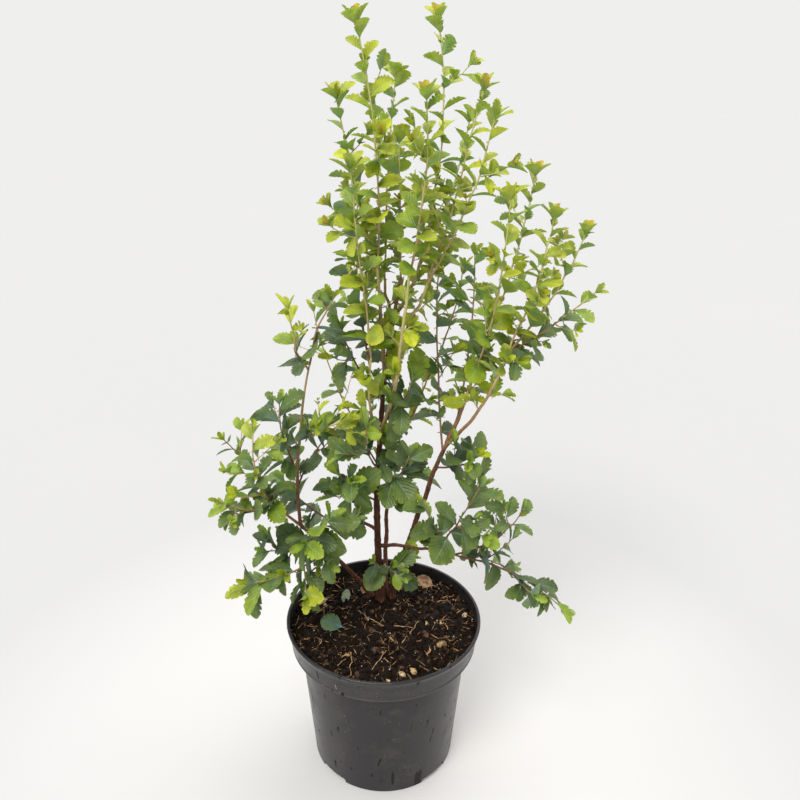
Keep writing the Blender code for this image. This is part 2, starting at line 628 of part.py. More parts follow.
def keep_outer_shell(mesh):
    """Drops loose scraps and fills sealed hollows, so that one closed shell is left."""
    build = bmesh.new()
    build.from_mesh(mesh)
    shells, seen = [], set()
    for face in build.faces:
        if face in seen:
            continue
        shell, waiting = [], [face]
        seen.add(face)
        while waiting:
            current = waiting.pop()
            shell.append(current)
            for edge in current.edges:
                for other in edge.link_faces:
                    if other not in seen:
                        seen.add(other)
                        waiting.append(other)
        shells.append(shell)
    shells.sort(key=len)
    spare = [vert for shell in shells[:-1] for face in shell for vert in face.verts]
    bmesh.ops.delete(build, geom=list(set(spare)), context="VERTS")
    bmesh.ops.triangulate(build, faces=build.faces)
    build.to_mesh(mesh)
    build.free()


def main():
    clear_scene()
    make_pot(make_material("pot_plastic", (0.012, 0.012, 0.013), 0.42))
    soil = make_soil(make_material("compost", (0.020, 0.013, 0.009), 0.95))
    bark = make_material("bark", (0.130, 0.055, 0.030), 0.70)
    leaf_materials = {
        tint: make_material(f"leaf_{tint}", colour, 0.50) for tint, colour in LEAF_COLOURS.items()
    }
    paths, limb_solids = make_limbs(bark)
    ground = Solid([vert.co.copy() for vert in soil.data.vertices],
                   [tuple(face.vertices) for face in soil.data.polygons])
    pot = turned(pot_profile(), POT_SEGMENTS)
    fixed = {**limb_solids, "soil": ground, "pot": pot}
    runs = make_shoot_stems(paths, fixed)
    leaves = {}
    for shoot in SHOOTS:
        others = list(fixed.values())
        for name, group in runs.items():
            if name != shoot.name:
                others.extend(run.solid for run in group)
                others.extend(leaves.get(name, ()))
        leaves[shoot.name] = make_leaves(shoot, runs[shoot.name], tree_of(others))
    for shoot in SHOOTS:
        pieces = [run.solid for run in runs[shoot.name]] + leaves[shoot.name]
        fuse(shoot.name, pieces, leaf_materials[shoot.tint])


main()
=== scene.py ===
"""Looks of the potted spirea: pot, compost, bark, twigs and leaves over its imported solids.

Metres, +Z up, -Y is the front. Boughs, shoots, side twigs and leaves stand by the same rule
and the same tables as the solids, and go on to spurs, buds and small leaves within their reach.
"""

import json
import math
import random
from collections import namedtuple

import bmesh
import bpy
from mathutils import Matrix, Vector, noise
from mathutils.bvhtree import BVHTree

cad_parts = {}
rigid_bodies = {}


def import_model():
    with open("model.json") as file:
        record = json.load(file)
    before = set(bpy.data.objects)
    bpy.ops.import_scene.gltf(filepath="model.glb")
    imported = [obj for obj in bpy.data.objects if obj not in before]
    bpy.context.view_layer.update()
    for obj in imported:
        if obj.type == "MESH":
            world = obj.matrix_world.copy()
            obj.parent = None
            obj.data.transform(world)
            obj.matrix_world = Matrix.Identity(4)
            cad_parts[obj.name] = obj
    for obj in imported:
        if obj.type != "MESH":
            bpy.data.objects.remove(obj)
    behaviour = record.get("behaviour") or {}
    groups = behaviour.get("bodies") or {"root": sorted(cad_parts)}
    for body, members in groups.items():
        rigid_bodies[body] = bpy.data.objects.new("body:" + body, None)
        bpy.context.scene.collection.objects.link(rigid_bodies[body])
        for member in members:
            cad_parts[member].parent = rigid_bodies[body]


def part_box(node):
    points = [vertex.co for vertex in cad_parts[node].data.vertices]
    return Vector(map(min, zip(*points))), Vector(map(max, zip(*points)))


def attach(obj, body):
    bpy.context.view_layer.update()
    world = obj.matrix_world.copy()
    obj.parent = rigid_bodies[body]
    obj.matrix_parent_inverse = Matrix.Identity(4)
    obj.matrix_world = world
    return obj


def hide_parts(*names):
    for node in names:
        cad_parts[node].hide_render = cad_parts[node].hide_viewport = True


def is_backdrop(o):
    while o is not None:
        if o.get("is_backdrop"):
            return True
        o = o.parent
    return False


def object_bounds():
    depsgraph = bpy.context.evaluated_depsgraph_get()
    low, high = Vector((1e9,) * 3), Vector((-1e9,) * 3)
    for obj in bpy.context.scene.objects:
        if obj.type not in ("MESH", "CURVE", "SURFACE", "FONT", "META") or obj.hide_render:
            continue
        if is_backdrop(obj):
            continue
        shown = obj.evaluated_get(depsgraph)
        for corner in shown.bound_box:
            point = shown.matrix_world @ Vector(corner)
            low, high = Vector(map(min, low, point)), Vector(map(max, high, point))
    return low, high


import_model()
solid_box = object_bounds()

# Pot: a thin moulded nursery container
POT_HEIGHT = 0.188
RIM_RADIUS = 0.1125
LIP_HEIGHT = 0.0035
LIP_OVERHANG = 0.0015
COLLAR_HEIGHT = 0.030
COLLAR_FOOT_RADIUS = 0.1073
BODY_TOP_RADIUS = 0.0970
BASE_RADIUS = 0.0843
BASE_CHAMFER = 0.0015
WALL = 0.0014
FLOOR = 0.0025
POT_SEGMENTS = 160
POT_SMOOTH_ANGLE = math.radians(35)
UNDERSIDE_RISE = 0.0012
FOOT_RING = (0.0580, 0.0592, 0.0610)
WALL_ROWS = (0.006, 0.010, 0.040, 0.080, 0.120, 0.150)
COLLAR_ROUND = 0.0006
LIP_ROUND = 0.0016
NOTCHES = 4
NOTCH_ANGLE = math.radians(26)
NOTCH_HEIGHT = 0.006
NOTCH_DEPTH = 0.012
NOTCH_SPARE = 0.004
GROOVE_TURN = math.radians(-91.5)
GROOVE_WIDTH = math.radians(1.7)
GROOVE_DEPTH = 0.0007
GROOVE_SPARE = 0.02
GROOVE_ENDS = (0.018, 0.045)
# How far a cut's upper corners are rounded: a share of its width, and a height
CUT_CORNER = (0.12, 0.0022)

# Compost
SOIL_LEVEL = 0.178
SOIL_RINGS = 64
SOIL_SEGMENTS = 160
SOIL_RADIUS = 0.1086
SOIL_RIM_DROP = 0.0035
SOIL_LUMPS = ((38.0, 0.0036), (105.0, 0.0034), (230.0, 0.0016), (480.0, 0.0008))
SOIL_FLAT_RADIUS = 0.016
SOIL_CALM = 0.35
SOIL_GAP = 0.0003

# Litter: how many shapes, each shape's rings, sides, flatness and roughness (none for straws),
# how many to a square metre, how far it tilts, its least and greatest size, how far it clumps,
# and its finish
Litter = namedtuple("Litter", "name shapes shape density tilt smallest largest clumping finish")
LITTER = (
    Litter("compost_crumbs", 6, (4, 6, 0.8, 0.26), 52000.0, 3.1, 0.0012, 0.0060, 0.3,
           ("crumb", (0.0020, 0.0012, 0.0008), (0.022, 0.0100, 0.0045), 300.0, 0.92, 0.10)),
    Litter("bark_chips", 5, (3, 6, 0.22, 0.30), 4500.0, 0.9, 0.0035, 0.0100, 0.3,
           ("chip", (0.012, 0.007, 0.004), (0.100, 0.048, 0.024), 260.0, 0.82)),
    Litter("straw_fibres", 6, None, 30000.0, 0.60, 0.0045, 0.0200, 0.85,
           ("straw", (0.050, 0.020, 0.008), (0.520, 0.310, 0.140), 110.0, 0.65)),
    Litter("white_grit", 3, (4, 6, 0.8, 0.16), 1400.0, 3.1, 0.0010, 0.0022, 0.3,
           ("grit", (0.420, 0.390, 0.340), (0.650, 0.620, 0.560), 500.0, 0.80)),
)
FIRST_SEED = 3
LITTER_RINGS = 40
LITTER_SEGMENTS = 96
LITTER_EDGE = 0.985
LITTER_LIFT = 0.0002
STRAW_BEND = 0.30
STRAW_RADIUS = 0.021
STRAW_RINGS = 5
STRAW_SIDES = 3

# Pebbles: middle, size and tone
PEBBLES = (
    (-0.0975, 0.033, 0.0080, 0), (0.096, 0.012, 0.0085, 1), (0.065, -0.040, 0.0105, 0),
    (0.020, -0.086, 0.0085, 1), (0.032, -0.083, 0.0095, 0), (0.005, -0.096, 0.0060, 1),
    (0.050, -0.002, 0.0060, 1), (0.067, -0.004, 0.0050, 0), (0.073, -0.006, 0.0045, 1),
    (-0.040, -0.058, 0.0055, 0), (-0.070, 0.030, 0.0050, 1), (0.028, 0.088, 0.0065, 0))
PEBBLE_MESH = (10, 14)
PEBBLE_FLATNESS = (0.6, 0.8)
PEBBLE_LENGTH = 1.15
PEBBLE_WIDTHS = (0.55, 0.75)
PEBBLE_RISE = 0.14
# The pebbles' large and small swellings: scale and height, and how far apart pebbles read them
PEBBLE_SWELLS = ((2.6, 0.34), (7, 0.08))
PEBBLE_SPREAD = 90

# Longer straws: foot and tip, with their height over the compost
LONG_STRAWS = (
    ((-0.036, -0.060, 0.006), (-0.035, -0.085, 0.001)), ((-0.0125, -0.080, 0.001), (0.0030, -0.057, 0.006)),
    ((-0.050, -0.075, 0.001), (-0.041, -0.066, 0.003)), ((0.012, -0.010, 0.002), (0.034, -0.016, 0.004)),
    ((0.030, -0.024, 0.001), (0.040, -0.006, 0.005)), ((-0.018, 0.004, 0.002), (0.000, -0.012, 0.003)),
    ((-0.080, 0.014, 0.001), (-0.066, 0.024, 0.004)), ((0.062, 0.030, 0.001), (0.078, 0.040, 0.003)))
LONG_STRAW_RADII = (0.00050, 0.00022)
LONG_STRAW_STEP = 0.003

# Stems and boughs
STEMS_AT = Vector((0.000, 0.045, SOIL_LEVEL + 0.0003))
STEM_SUNK = 0.004
LIMB_STEP = 0.0022
BARK_SIDES = 20
FLARE = 0.55
FLARE_HEIGHT = 0.012
COLLAR_SWELL = 0.45
COLLAR_REACH = 0.0045
KNOT_SWELL = 0.16
KNOT_REACH = 0.0016
KNOT_GAPS = (0.018, 0.034)
FORK_LEAD = 0.005
LIMB_THINNING = 0.75
LIMB_WAVER = 0.0013
WAVER_TURNS = (1.3, 2.7, 4.6)
FOOT_SWELL = 1.15
LEAD_SIZE = 0.75
LEAD_GAP = 0.6
# A strand's rounded end: how far out, and how thick, both in shares of its last radius
TIP_ROUND = ((0.6, 0.85), (1.0, 0.45))
# How young the wood looks at the foot and the tip, of shoots by their tint and of limbs
TWIG_YOUTH = {"dark": (0.45, 0.78), "mid": (0.62, 0.92), "inner": (0.62, 0.92),
              "fresh": (0.80, 1.0), "bright": (0.70, 0.98)}
LIMB_YOUTH = {"main_stem": (0.00, 0.72), "right_stem": (0.08, 0.55), "left_stem": (0.20, 0.80),
              "back_stem": (0.35, 0.80), "tall_left_bough": (0.72, 0.96), "thin_left_bough": (0.78, 0.98),
              "pale_bough": (0.80, 0.98), "crown_back_bough": (0.70, 0.93), "tall_right_bough": (0.68, 0.94),
              "mid_right_bough": (0.74, 0.96), "right_upright": (0.60, 0.92), "right_arc": (0.66, 0.94),
              "low_right_bough": (0.22, 0.72), "left_upright": (0.55, 0.90), "back_left_bough": (0.45, 0.80),
              "rear_right_bough": (0.55, 0.90)}

# Leafy shoots: stems, side twigs and spurs
SHOOT_RADII = (0.0012, 0.0006)
TWIG_RADII = (0.0007, 0.0004)
SPUR_RADII = (0.0005, 0.0003)
SHOOT_WAVER = 0.0010
TWIG_WAVER = 0.0005
TWIG_SIDES = 8
SHOOT_RING_STEP = 0.0035
GUARD_STEP = 0.040
GUARD_SIDES = 3
GUARD = 0.0006
# Where guards start along a new twig and along a standing one, and how much of a shoot's foot
# stays bare, in radii of its limb
NEW_TWIG_FOOT = 0.1
TWIG_FOOT = 0.05
BARE_RADII = 1.8
GOLDEN_TURN = math.radians(137.5)
TWIG_LEAN = math.radians(52)
TWIG_SAG = 0.06
TWIG_PLACE = 0.6
LAST_TWIG = 0.85
LOW_TWIG_SIZE = 1.1
TIP_TWIG_SIZE = 0.6
TWIG_SIZES = (0.85, 1.15)
SPURS = 2
SPUR_PLACE = 0.2
SPUR_LENGTHS = (0.010, 0.018)
SPUR_RING_STEP = 0.0025
TWIG_KNOT_SWELL = 0.3
TWIG_KNOT_REACH = 0.0012
REACH_SPARE = 0.003
EDGE_ROOM = 0.0025
TURNS_TRIED = (0, 24, -24, 48, -48, 75, -75, 105)

# The camera's place, and the line of sight to it that leaves keep clear of: the limb, the
# shares of it where the line starts and ends, its steps, and how near and far it is kept
EYE = (0, -0.7563, 0.7887)
SIGHT_LIMB = "main_stem"
SIGHT_SHARES = (0.12, 0.80)
SIGHT_STEPS = 8
SIGHT_REACH = (0.008, 0.16)

# Where the leaves stand: their lean off the twig, droop, turn and size from foot to tip
LEAF_PLACE = 0.75
LAST_LEAF = 0.96
FEWEST_LEAVES = 2
TWIG_AGE = 0.45
SPUR_AGE = 0.2
# How close and large leaves are on a stem, a side twig and a spur
CROWDING = (1.0, 0.87, 0.55)
LEAF_SIZES = (0.88, 1.30)
# Leaf spacing by tint and for single sprays, and leaf size by tint at the foot and the tip
CLOSER = {"dark": 1.06, "mid": 0.97, "inner": 0.90, "fresh": 0.80, "bright": 1.00}
SPARSER = {"right_far": 0.74, "rear_left_shoot": 1.9, "left_top": 1.45, "left_mid_back": 1.4,
           "rear_right_shoot": 1.4, "centre_top_spray": 1.3, "left_mid_side": 1.2}
LARGER = {"dark": (1.16, 1.12), "mid": (1.12, 1.00), "inner": (1.0, 1.0), "fresh": (1.0, 1.0),
          "bright": (1.08, 0.60)}
LEAF_TURN_SPREAD = 0.3
LOW_LEAF_LEAN = math.radians(76)
TIP_LEAF_LEAN = math.radians(36)
DROOP_LOSS = 0.7
OUTWARD_FACING = {"dark": 1.2, "mid": 0.9, "inner": 0.6, "fresh": 0.5, "bright": 0.9}
STEEP = 0.1
LEAF_ROLL = 0.6
SHORTER = (1.0, 0.82)
# A leaf's guard outline: root, widest place and tip, and half its width, in leaf lengths
GUARD_PLACES = (0.2, 0.6, 1.05)
HALF_WIDTH = 0.34
WEDGE_AGE = 0.45
WEDGE_SPREAD = 0.2

# Leaves from a bud: how many leaves have them, how many stand there, how far they keep to the
# leaf and lean off it, their size, and how much younger they look
BUD_SHARE = {"dark": 0.10, "mid": 0.20, "inner": 0.22, "fresh": 0.40, "bright": 0.30}
BUD_COUNTS = (1, 3)
BUD_PULLS = (0.3, 1.0)
BUD_LEANS = (0.2, 0.7)
BUD_SIZES = (0.22, 0.45)
BUD_AGE = 0.25

# Tufts at the tips: the tint by the shoot's own, how often it is lime, and size and number of
# leaves on a stem, a side twig and a spur
TUFT_TINTS = {"fresh": "young", "bright": "lime", "inner": "fresh", "mid": "fresh", "dark": "mid"}
LIME_TUFTS = {"fresh": 0.12, "inner": 0.12, "bright": 1.0, "mid": 0.04, "dark": 0.04}
FRESH_TUFTS = ((1.25, 0.8, 0.6), (6, 5, 3))
PLAIN_TUFTS = ((0.9, 0.8, 0.6), (3, 3, 3))
TUFT_SUNK = 0.001
TUFT_LEANS = (10, 54)
TUFT_SPREAD = (0.85, 1.1)
TUFT_GROWTH = (0.70, 0.35)
TUFT_ROLL = 0.3
YOUNG_FORMS = 3
YOUNG_TINTS = 2
SHORTEST_LEAF = 0.004
SHORTENING = 0.9

# Limbs: the limb each leaves, how far along it, tip, bow at the middle, foot and tip radius
Limb = namedtuple("Limb", "name parent at tip bow foot_radius tip_radius")
LIMBS = (
    Limb("main_stem", None, (-0.003, -0.005), (0.018, 0.063, 0.572), (-0.013, 0.000, 0), 0.0045, 0.0023),
    Limb("right_stem", None, (0.009, 0.000), (0.070, 0.018, 0.406), (-0.004, 0.000, 0), 0.0038, 0.0028),
    Limb("left_stem", None, (-0.014, 0.003), (-0.117, 0.008, 0.326), (0.000, 0.004, 0.004), 0.0030, 0.0018),
    Limb("back_stem", None, (0.002, 0.011), (0.010, 0.118, 0.350), (-0.002, 0.012, 0), 0.0030, 0.0020),
    Limb("tall_left_bough", "main_stem", 0.73, (-0.006, 0.034, 0.589), (0.000, -0.003, 0), 0.0026, 0.0017),
    Limb("thin_left_bough", "main_stem", 0.52, (-0.013, 0.028, 0.496), (-0.006, -0.005, 0), 0.0018, 0.0014),
    Limb("pale_bough", "main_stem", 0.55, (0.024, -0.005, 0.591), (0.005, -0.010, 0), 0.0024, 0.0016),
    Limb("crown_back_bough", "main_stem", 0.86, (0.002, 0.090, 0.592), (-0.003, 0.004, 0), 0.0018, 0.0014),
    Limb("tall_right_bough", "main_stem", 0.90, (0.038, 0.082, 0.583), (0.002, 0.003, -0.006),
         0.0022, 0.0017),
    Limb("mid_right_bough", "main_stem", 0.82, (0.043, 0.015, 0.579), (0.003, -0.006, -0.006),
         0.0022, 0.0016),
    Limb("right_upright", "right_stem", 1.00, (0.096, 0.026, 0.484), (0.002, 0.000, 0), 0.0024, 0.0018),
    Limb("right_arc", "right_stem", 0.97, (0.126, -0.012, 0.528), (0.006, -0.011, -0.002), 0.0020, 0.0014),
    Limb("low_right_bough", "main_stem", 0.19, (0.085, -0.004, 0.271), (0.002, -0.013, 0.013),
         0.0022, 0.0015),
    Limb("left_upright", "left_stem", 0.78, (-0.078, 0.032, 0.487), (-0.007, 0.000, 0), 0.0020, 0.0014),
    Limb("back_left_bough", "main_stem", 0.24, (-0.073, 0.090, 0.264), (-0.004, 0.010, 0.006),
         0.0020, 0.0014),
    Limb("rear_right_bough", "back_stem", 1.00, (0.052, 0.132, 0.430), (0.006, 0.006, 0), 0.0019, 0.0014),
)

# Shoots: limb and place on it, tip, bow, leaf length low and high, leaf spacing, side twigs
# and their length, and how far the low leaves droop
Shoot = namedtuple("Shoot", "name limb at tip bow low_leaf top_leaf spacing twigs twig_length droop tint")
SHOOTS = (
    Shoot("crown_tall_left", "tall_left_bough", 1.0, (-0.024, 0.030, 0.812), (0.008, -0.002, 0),
          0.027, 0.020, 0.0130, 3, 0.050, 0.05, "fresh"),
    Shoot("crown_left_fork", "tall_left_bough", 0.93, (-0.046, 0.070, 0.748), (-0.002, 0.012, 0),
          0.026, 0.019, 0.0130, 2, 0.045, 0.05, "fresh"),
    Shoot("crown_left_front", "thin_left_bough", 1.0, (-0.030, -0.010, 0.690), (0.000, -0.004, 0),
          0.028, 0.020, 0.0140, 2, 0.045, 0.10, "fresh"),
    Shoot("crown_back_left", "thin_left_bough", 0.90, (-0.024, 0.115, 0.670), (-0.010, 0.016, 0),
          0.030, 0.021, 0.0140, 2, 0.045, 0.10, "mid"),
    Shoot("crown_front", "pale_bough", 1.0, (0.037, -0.022, 0.752), (0.006, -0.005, 0),
          0.028, 0.020, 0.0130, 2, 0.045, 0.05, "fresh"),
    Shoot("crown_back", "crown_back_bough", 1.0, (0.012, 0.128, 0.765), (-0.002, 0.005, 0),
          0.027, 0.020, 0.0135, 3, 0.045, 0.05, "fresh"),
    Shoot("crown_leader", "main_stem", 1.0, (0.016, 0.088, 0.705), (0.000, -0.004, 0),
          0.027, 0.020, 0.0140, 1, 0.035, 0.10, "fresh"),
    Shoot("crown_tall_right", "tall_right_bough", 1.0, (0.053, 0.095, 0.818), (0.013, 0.003, 0),
          0.027, 0.020, 0.0130, 3, 0.045, 0.05, "fresh"),
    Shoot("crown_right_fork", "tall_right_bough", 0.92, (0.086, 0.092, 0.725), (0.006, 0.004, -0.004),
          0.026, 0.019, 0.0135, 1, 0.040, 0.05, "fresh"),
    Shoot("crown_right_front", "mid_right_bough", 1.0, (0.098, -0.010, 0.735), (0.007, -0.004, 0),
          0.027, 0.019, 0.0135, 2, 0.045, 0.05, "fresh"),
    Shoot("crown_right_inner", "mid_right_bough", 0.90, (0.092, 0.034, 0.757), (0.004, 0.010, 0),
          0.027, 0.019, 0.0140, 1, 0.040, 0.05, "fresh"),
    Shoot("right_far", "right_upright", 1.0, (0.198, -0.030, 0.583), (0.000, -0.004, -0.005),
          0.030, 0.019, 0.0130, 2, 0.045, 0.15, "mid"),
    Shoot("right_front_shoot", "right_upright", 0.75, (0.114, -0.026, 0.668), (0.005, -0.014, 0),
          0.028, 0.019, 0.0140, 2, 0.040, 0.10, "fresh"),
    Shoot("right_back_shoot", "right_upright", 0.95, (0.160, 0.112, 0.670), (0.010, 0.018, 0),
          0.029, 0.019, 0.0135, 3, 0.050, 0.10, "fresh"),
    Shoot("right_arc_shoot", "right_arc", 1.0, (0.160, 0.000, 0.645), (0.004, -0.003, 0),
          0.026, 0.018, 0.0125, 2, 0.040, 0.05, "fresh"),
    Shoot("right_arc_fork", "right_arc", 0.92, (0.202, 0.044, 0.622), (0.010, 0.014, -0.006),
          0.026, 0.018, 0.0130, 2, 0.040, 0.10, "fresh"),
    Shoot("inner_back_shoot", "right_stem", 0.93, (0.066, 0.108, 0.640), (-0.006, 0.026, 0),
          0.029, 0.020, 0.0165, 2, 0.045, 0.15, "mid"),
    Shoot("inner_right_shoot", "right_upright", 0.25, (0.100, 0.112, 0.585), (0.008, 0.024, -0.004),
          0.032, 0.022, 0.0155, 2, 0.045, 0.20, "mid"),
    Shoot("low_right_tip", "low_right_bough", 1.0, (0.196, -0.036, 0.226), (0.004, -0.006, 0.014),
          0.026, 0.024, 0.0115, 3, 0.045, 0.35, "dark"),
    Shoot("low_right_rise", "low_right_bough", 0.92, (0.150, -0.012, 0.335), (0.008, 0.002, -0.010),
          0.030, 0.021, 0.0115, 3, 0.045, 0.30, "dark"),
    Shoot("low_right_inner", "low_right_bough", 0.70, (0.100, -0.030, 0.374), (0.000, -0.004, 0),
          0.034, 0.026, 0.0120, 3, 0.045, 0.30, "dark"),
    Shoot("right_stem_spray", "right_stem", 0.84, (0.098, -0.004, 0.398), (0.006, 0.000, -0.004),
          0.034, 0.028, 0.0120, 2, 0.040, 0.35, "dark"),
    Shoot("left_far_low", "left_stem", 1.0, (-0.168, -0.046, 0.366), (-0.002, -0.002, -0.004),
          0.026, 0.021, 0.0115, 2, 0.040, 0.30, "mid"),
    Shoot("left_far_top", "left_stem", 0.96, (-0.136, -0.004, 0.424), (-0.010, -0.008, 0),
          0.028, 0.021, 0.0130, 2, 0.040, 0.20, "mid"),
    Shoot("left_far_back", "left_stem", 0.90, (-0.176, 0.034, 0.398), (-0.004, 0.016, 0),
          0.028, 0.020, 0.0120, 3, 0.045, 0.25, "mid"),
    Shoot("low_left_tip", "left_stem", 0.48, (-0.143, -0.040, 0.262), (-0.004, -0.006, -0.006),
          0.038, 0.034, 0.0115, 2, 0.048, 0.50, "mid"),
    Shoot("low_left_spray", "left_stem", 0.58, (-0.136, 0.020, 0.262), (-0.002, 0.006, -0.008),
          0.034, 0.024, 0.0110, 3, 0.045, 0.35, "dark"),
    Shoot("back_left_tip", "back_left_bough", 1.0, (-0.125, 0.118, 0.300), (-0.004, 0.004, -0.004),
          0.034, 0.026, 0.0115, 3, 0.055, 0.35, "dark"),
    Shoot("left_top", "left_upright", 1.0, (-0.028, 0.046, 0.590), (-0.007, -0.002, 0.004),
          0.034, 0.022, 0.0175, 1, 0.035, 0.35, "mid"),
    Shoot("left_top_side", "left_upright", 0.97, (-0.096, 0.018, 0.552), (-0.003, -0.003, -0.004),
          0.034, 0.024, 0.0105, 0, 0.030, 0.20, "bright"),
    Shoot("left_mid_front", "left_upright", 0.55, (-0.042, -0.004, 0.440), (0.002, -0.006, 0.002),
          0.034, 0.022, 0.0110, 3, 0.040, 0.30, "bright"),
    Shoot("left_mid_side", "left_upright", 0.35, (-0.112, 0.032, 0.442), (-0.006, 0.002, 0),
          0.036, 0.026, 0.0115, 2, 0.040, 0.35, "dark"),
    Shoot("left_mid_back", "left_upright", 0.25, (-0.052, 0.086, 0.392), (-0.004, 0.010, 0),
          0.034, 0.026, 0.0120, 3, 0.050, 0.30, "dark"),
    Shoot("left_low_front", "left_stem", 0.66, (-0.058, -0.020, 0.330), (-0.004, -0.008, 0),
          0.036, 0.028, 0.0110, 3, 0.045, 0.35, "dark"),
    Shoot("centre_left_spray", "main_stem", 0.34, (-0.048, 0.008, 0.368), (-0.006, -0.006, 0.004),
          0.036, 0.030, 0.0145, 2, 0.040, 0.35, "dark"),
    Shoot("centre_right_spray", "main_stem", 0.36, (0.028, 0.022, 0.384), (0.004, -0.006, 0),
          0.036, 0.030, 0.0115, 2, 0.040, 0.45, "dark"),
    Shoot("centre_upper_spray", "main_stem", 0.56, (0.030, 0.030, 0.470), (0.006, -0.002, 0),
          0.036, 0.030, 0.0125, 1, 0.036, 0.40, "dark"),
    Shoot("centre_front_spray", "main_stem", 0.44, (-0.018, -0.004, 0.430), (-0.004, -0.006, 0),
          0.036, 0.030, 0.0125, 1, 0.040, 0.40, "dark"),
    Shoot("centre_top_spray", "main_stem", 0.66, (-0.044, 0.052, 0.520), (-0.008, 0.004, 0),
          0.036, 0.028, 0.0125, 1, 0.040, 0.35, "dark"),
    Shoot("foot_spray", "main_stem", 0.12, (0.014, 0.006, 0.250), (0.000, -0.006, 0.004),
          0.034, 0.028, 0.0100, 1, 0.034, 0.45, "dark"),
    Shoot("rear_left_shoot", "back_stem", 0.72, (-0.082, 0.146, 0.510), (-0.014, 0.012, 0),
          0.032, 0.021, 0.0130, 3, 0.055, 0.25, "mid"),
    Shoot("rear_right_shoot", "rear_right_bough", 1.0, (0.092, 0.158, 0.560), (0.008, 0.006, 0),
          0.032, 0.021, 0.0130, 3, 0.055, 0.25, "mid"),
)

# Short leafy spurs along the boughs, as the shoots' table, from a place on the limb to its end
BOUGH_SPRAYS = tuple(
    Shoot(f"{limb}_spurs", limb, at, None, None, low_leaf, top_leaf, 0.0105, spurs, 0.020, droop, tint)
    for limb, at, low_leaf, top_leaf, spurs, droop, tint in (
        ("main_stem", 0.50, 0.034, 0.026, 6, 0.40, "dark"),
        ("tall_left_bough", 0.15, 0.028, 0.023, 5, 0.15, "inner"),
        ("thin_left_bough", 0.25, 0.028, 0.023, 5, 0.20, "inner"),
        ("pale_bough", 0.30, 0.028, 0.023, 6, 0.15, "inner"),
        ("crown_back_bough", 0.20, 0.028, 0.023, 4, 0.15, "inner"),
        ("tall_right_bough", 0.20, 0.028, 0.023, 4, 0.15, "inner"),
        ("mid_right_bough", 0.20, 0.028, 0.023, 4, 0.15, "inner"),
        ("right_upright", 0.30, 0.028, 0.022, 4, 0.20, "inner"),
        ("right_arc", 0.35, 0.026, 0.021, 4, 0.20, "inner"),
        ("rear_right_bough", 0.25, 0.028, 0.022, 4, 0.25, "inner"),
        ("back_stem", 0.50, 0.030, 0.024, 4, 0.35, "dark"),
    ))

# Leaf forms: how many variants, rows along the blade, width, where it is widest, how full,
# where the teeth start and how deep they are, fold, recurve, and length of the stalk
Form = namedtuple("Form", "variants rows width widest full toothed tooth fold recurve stalk")
FORMS = {
    "broad": Form(8, 7, 0.80, 0.55, 0.82, 0.40, 0.15, 14, 0.22, 0.16),
    "wedge": Form(8, 6, 0.64, 0.64, 1.15, 0.48, 0.26, 28, 0.22, 0.14),
    "young": Form(4, 5, 0.46, 0.68, 1.10, 0.50, 0.30, 34, 0.02, 0.06),
    "small": Form(4, 4, 0.62, 0.58, 0.85, 0.40, 0.18, 20, 0.08, 0.12),
}
STALK_HALF = 0.016
TIP_HALF = 0.024
CROWN = 0.075
PLEAT = 0.045
TOOTH_SHOULDERS = ((0.24, 0.48), (0.58, 0.06), (0.88, 0.0))
TOOTH_DEPTHS = (0.30, 1.75)
FIRST_ROW = 0.03
FOLD_SPREAD = (0.7, 1.3)
UNFOLDING = 0.4
RECURVE_SPREAD = (-0.05, 0.09)
RECURVE_PULL = 0.25
SWEEP = 0.10
TWIST = 0.35
STRIP = 0.52
RIB_HALF = 0.016
WIDEST_RIB = 0.45
KEEL = 0.026
STALK_TOP = 0.004
BLADE, RIB, UNDERSIDE = 0, 1, 2
VEINS = 6.5
VEIN_SLANT = 1.5
# Gains on a blade's colour: its middle and its edge where it is darker, then where it is lighter
# The middle's higher blue gains paint a bluish sheen; the edge's yellower gains are the leaf's own rim.
BLADE_GAINS_WITH_SHEEN = ((0.60, 0.68, 1.10), (0.84, 0.76, 0.50), (1.06, 1.14, 2.10), (1.52, 1.34, 0.70))

# Leaf tints by spray: blade, rib and stalk, underside, light through the blade
TINTS = {
    "deep": ((0.082, 0.127, 0.035), (0.190, 0.240, 0.090), (0.240, 0.310, 0.180), (0.16, 0.36, 0.04)),
    "dark": ((0.152, 0.211, 0.044), (0.260, 0.320, 0.110), (0.280, 0.360, 0.180), (0.26, 0.52, 0.05)),
    "mid": ((0.280, 0.358, 0.029), (0.360, 0.430, 0.110), (0.340, 0.420, 0.130), (0.50, 0.78, 0.04)),
    "fresh": ((0.395, 0.424, 0.024), (0.460, 0.500, 0.110), (0.420, 0.480, 0.090), (0.62, 0.83, 0.03)),
    "lime": ((0.500, 0.540, 0.022), (0.580, 0.600, 0.110), (0.540, 0.580, 0.070), (0.80, 0.92, 0.03)),
    "young": ((0.500, 0.430, 0.030), (0.600, 0.420, 0.120), (0.600, 0.520, 0.110), (0.92, 0.80, 0.08)),
}
TINT_ORDER = ("deep", "dark", "mid", "fresh", "lime")
LEAF_SLOTS = {"deep": "leaf_dark", "dark": "leaf_dark", "mid": "leaf_mid",
              "fresh": "leaf_fresh", "lime": "leaf_bright", "young": "leaf_bright"}
# Where a spray starts in the tints' order and how far it rises to its tip, and how leaves stray. The inner
# sprays' light fresh tints are partly the leaves' own green and partly painted light that offsets the shade
# inside the crown.
TINT_STEPS = {"dark": (0.3, 1.0), "mid": (0.6, 1.5), "inner": (2.8, 0.3),
              "fresh": (3.0, -0.1), "bright": (-0.7, 5.3)}
TINT_SPREAD = {"dark": (-0.8, 0.7), "mid": (-0.8, 0.8), "inner": (-0.9, 0.7),
               "fresh": (-1.1, 0.8), "bright": (-0.6, 0.6)}
STANDS_FOR = {"dark": "dark", "mid": "mid", "fresh": "fresh", "lime": "bright"}

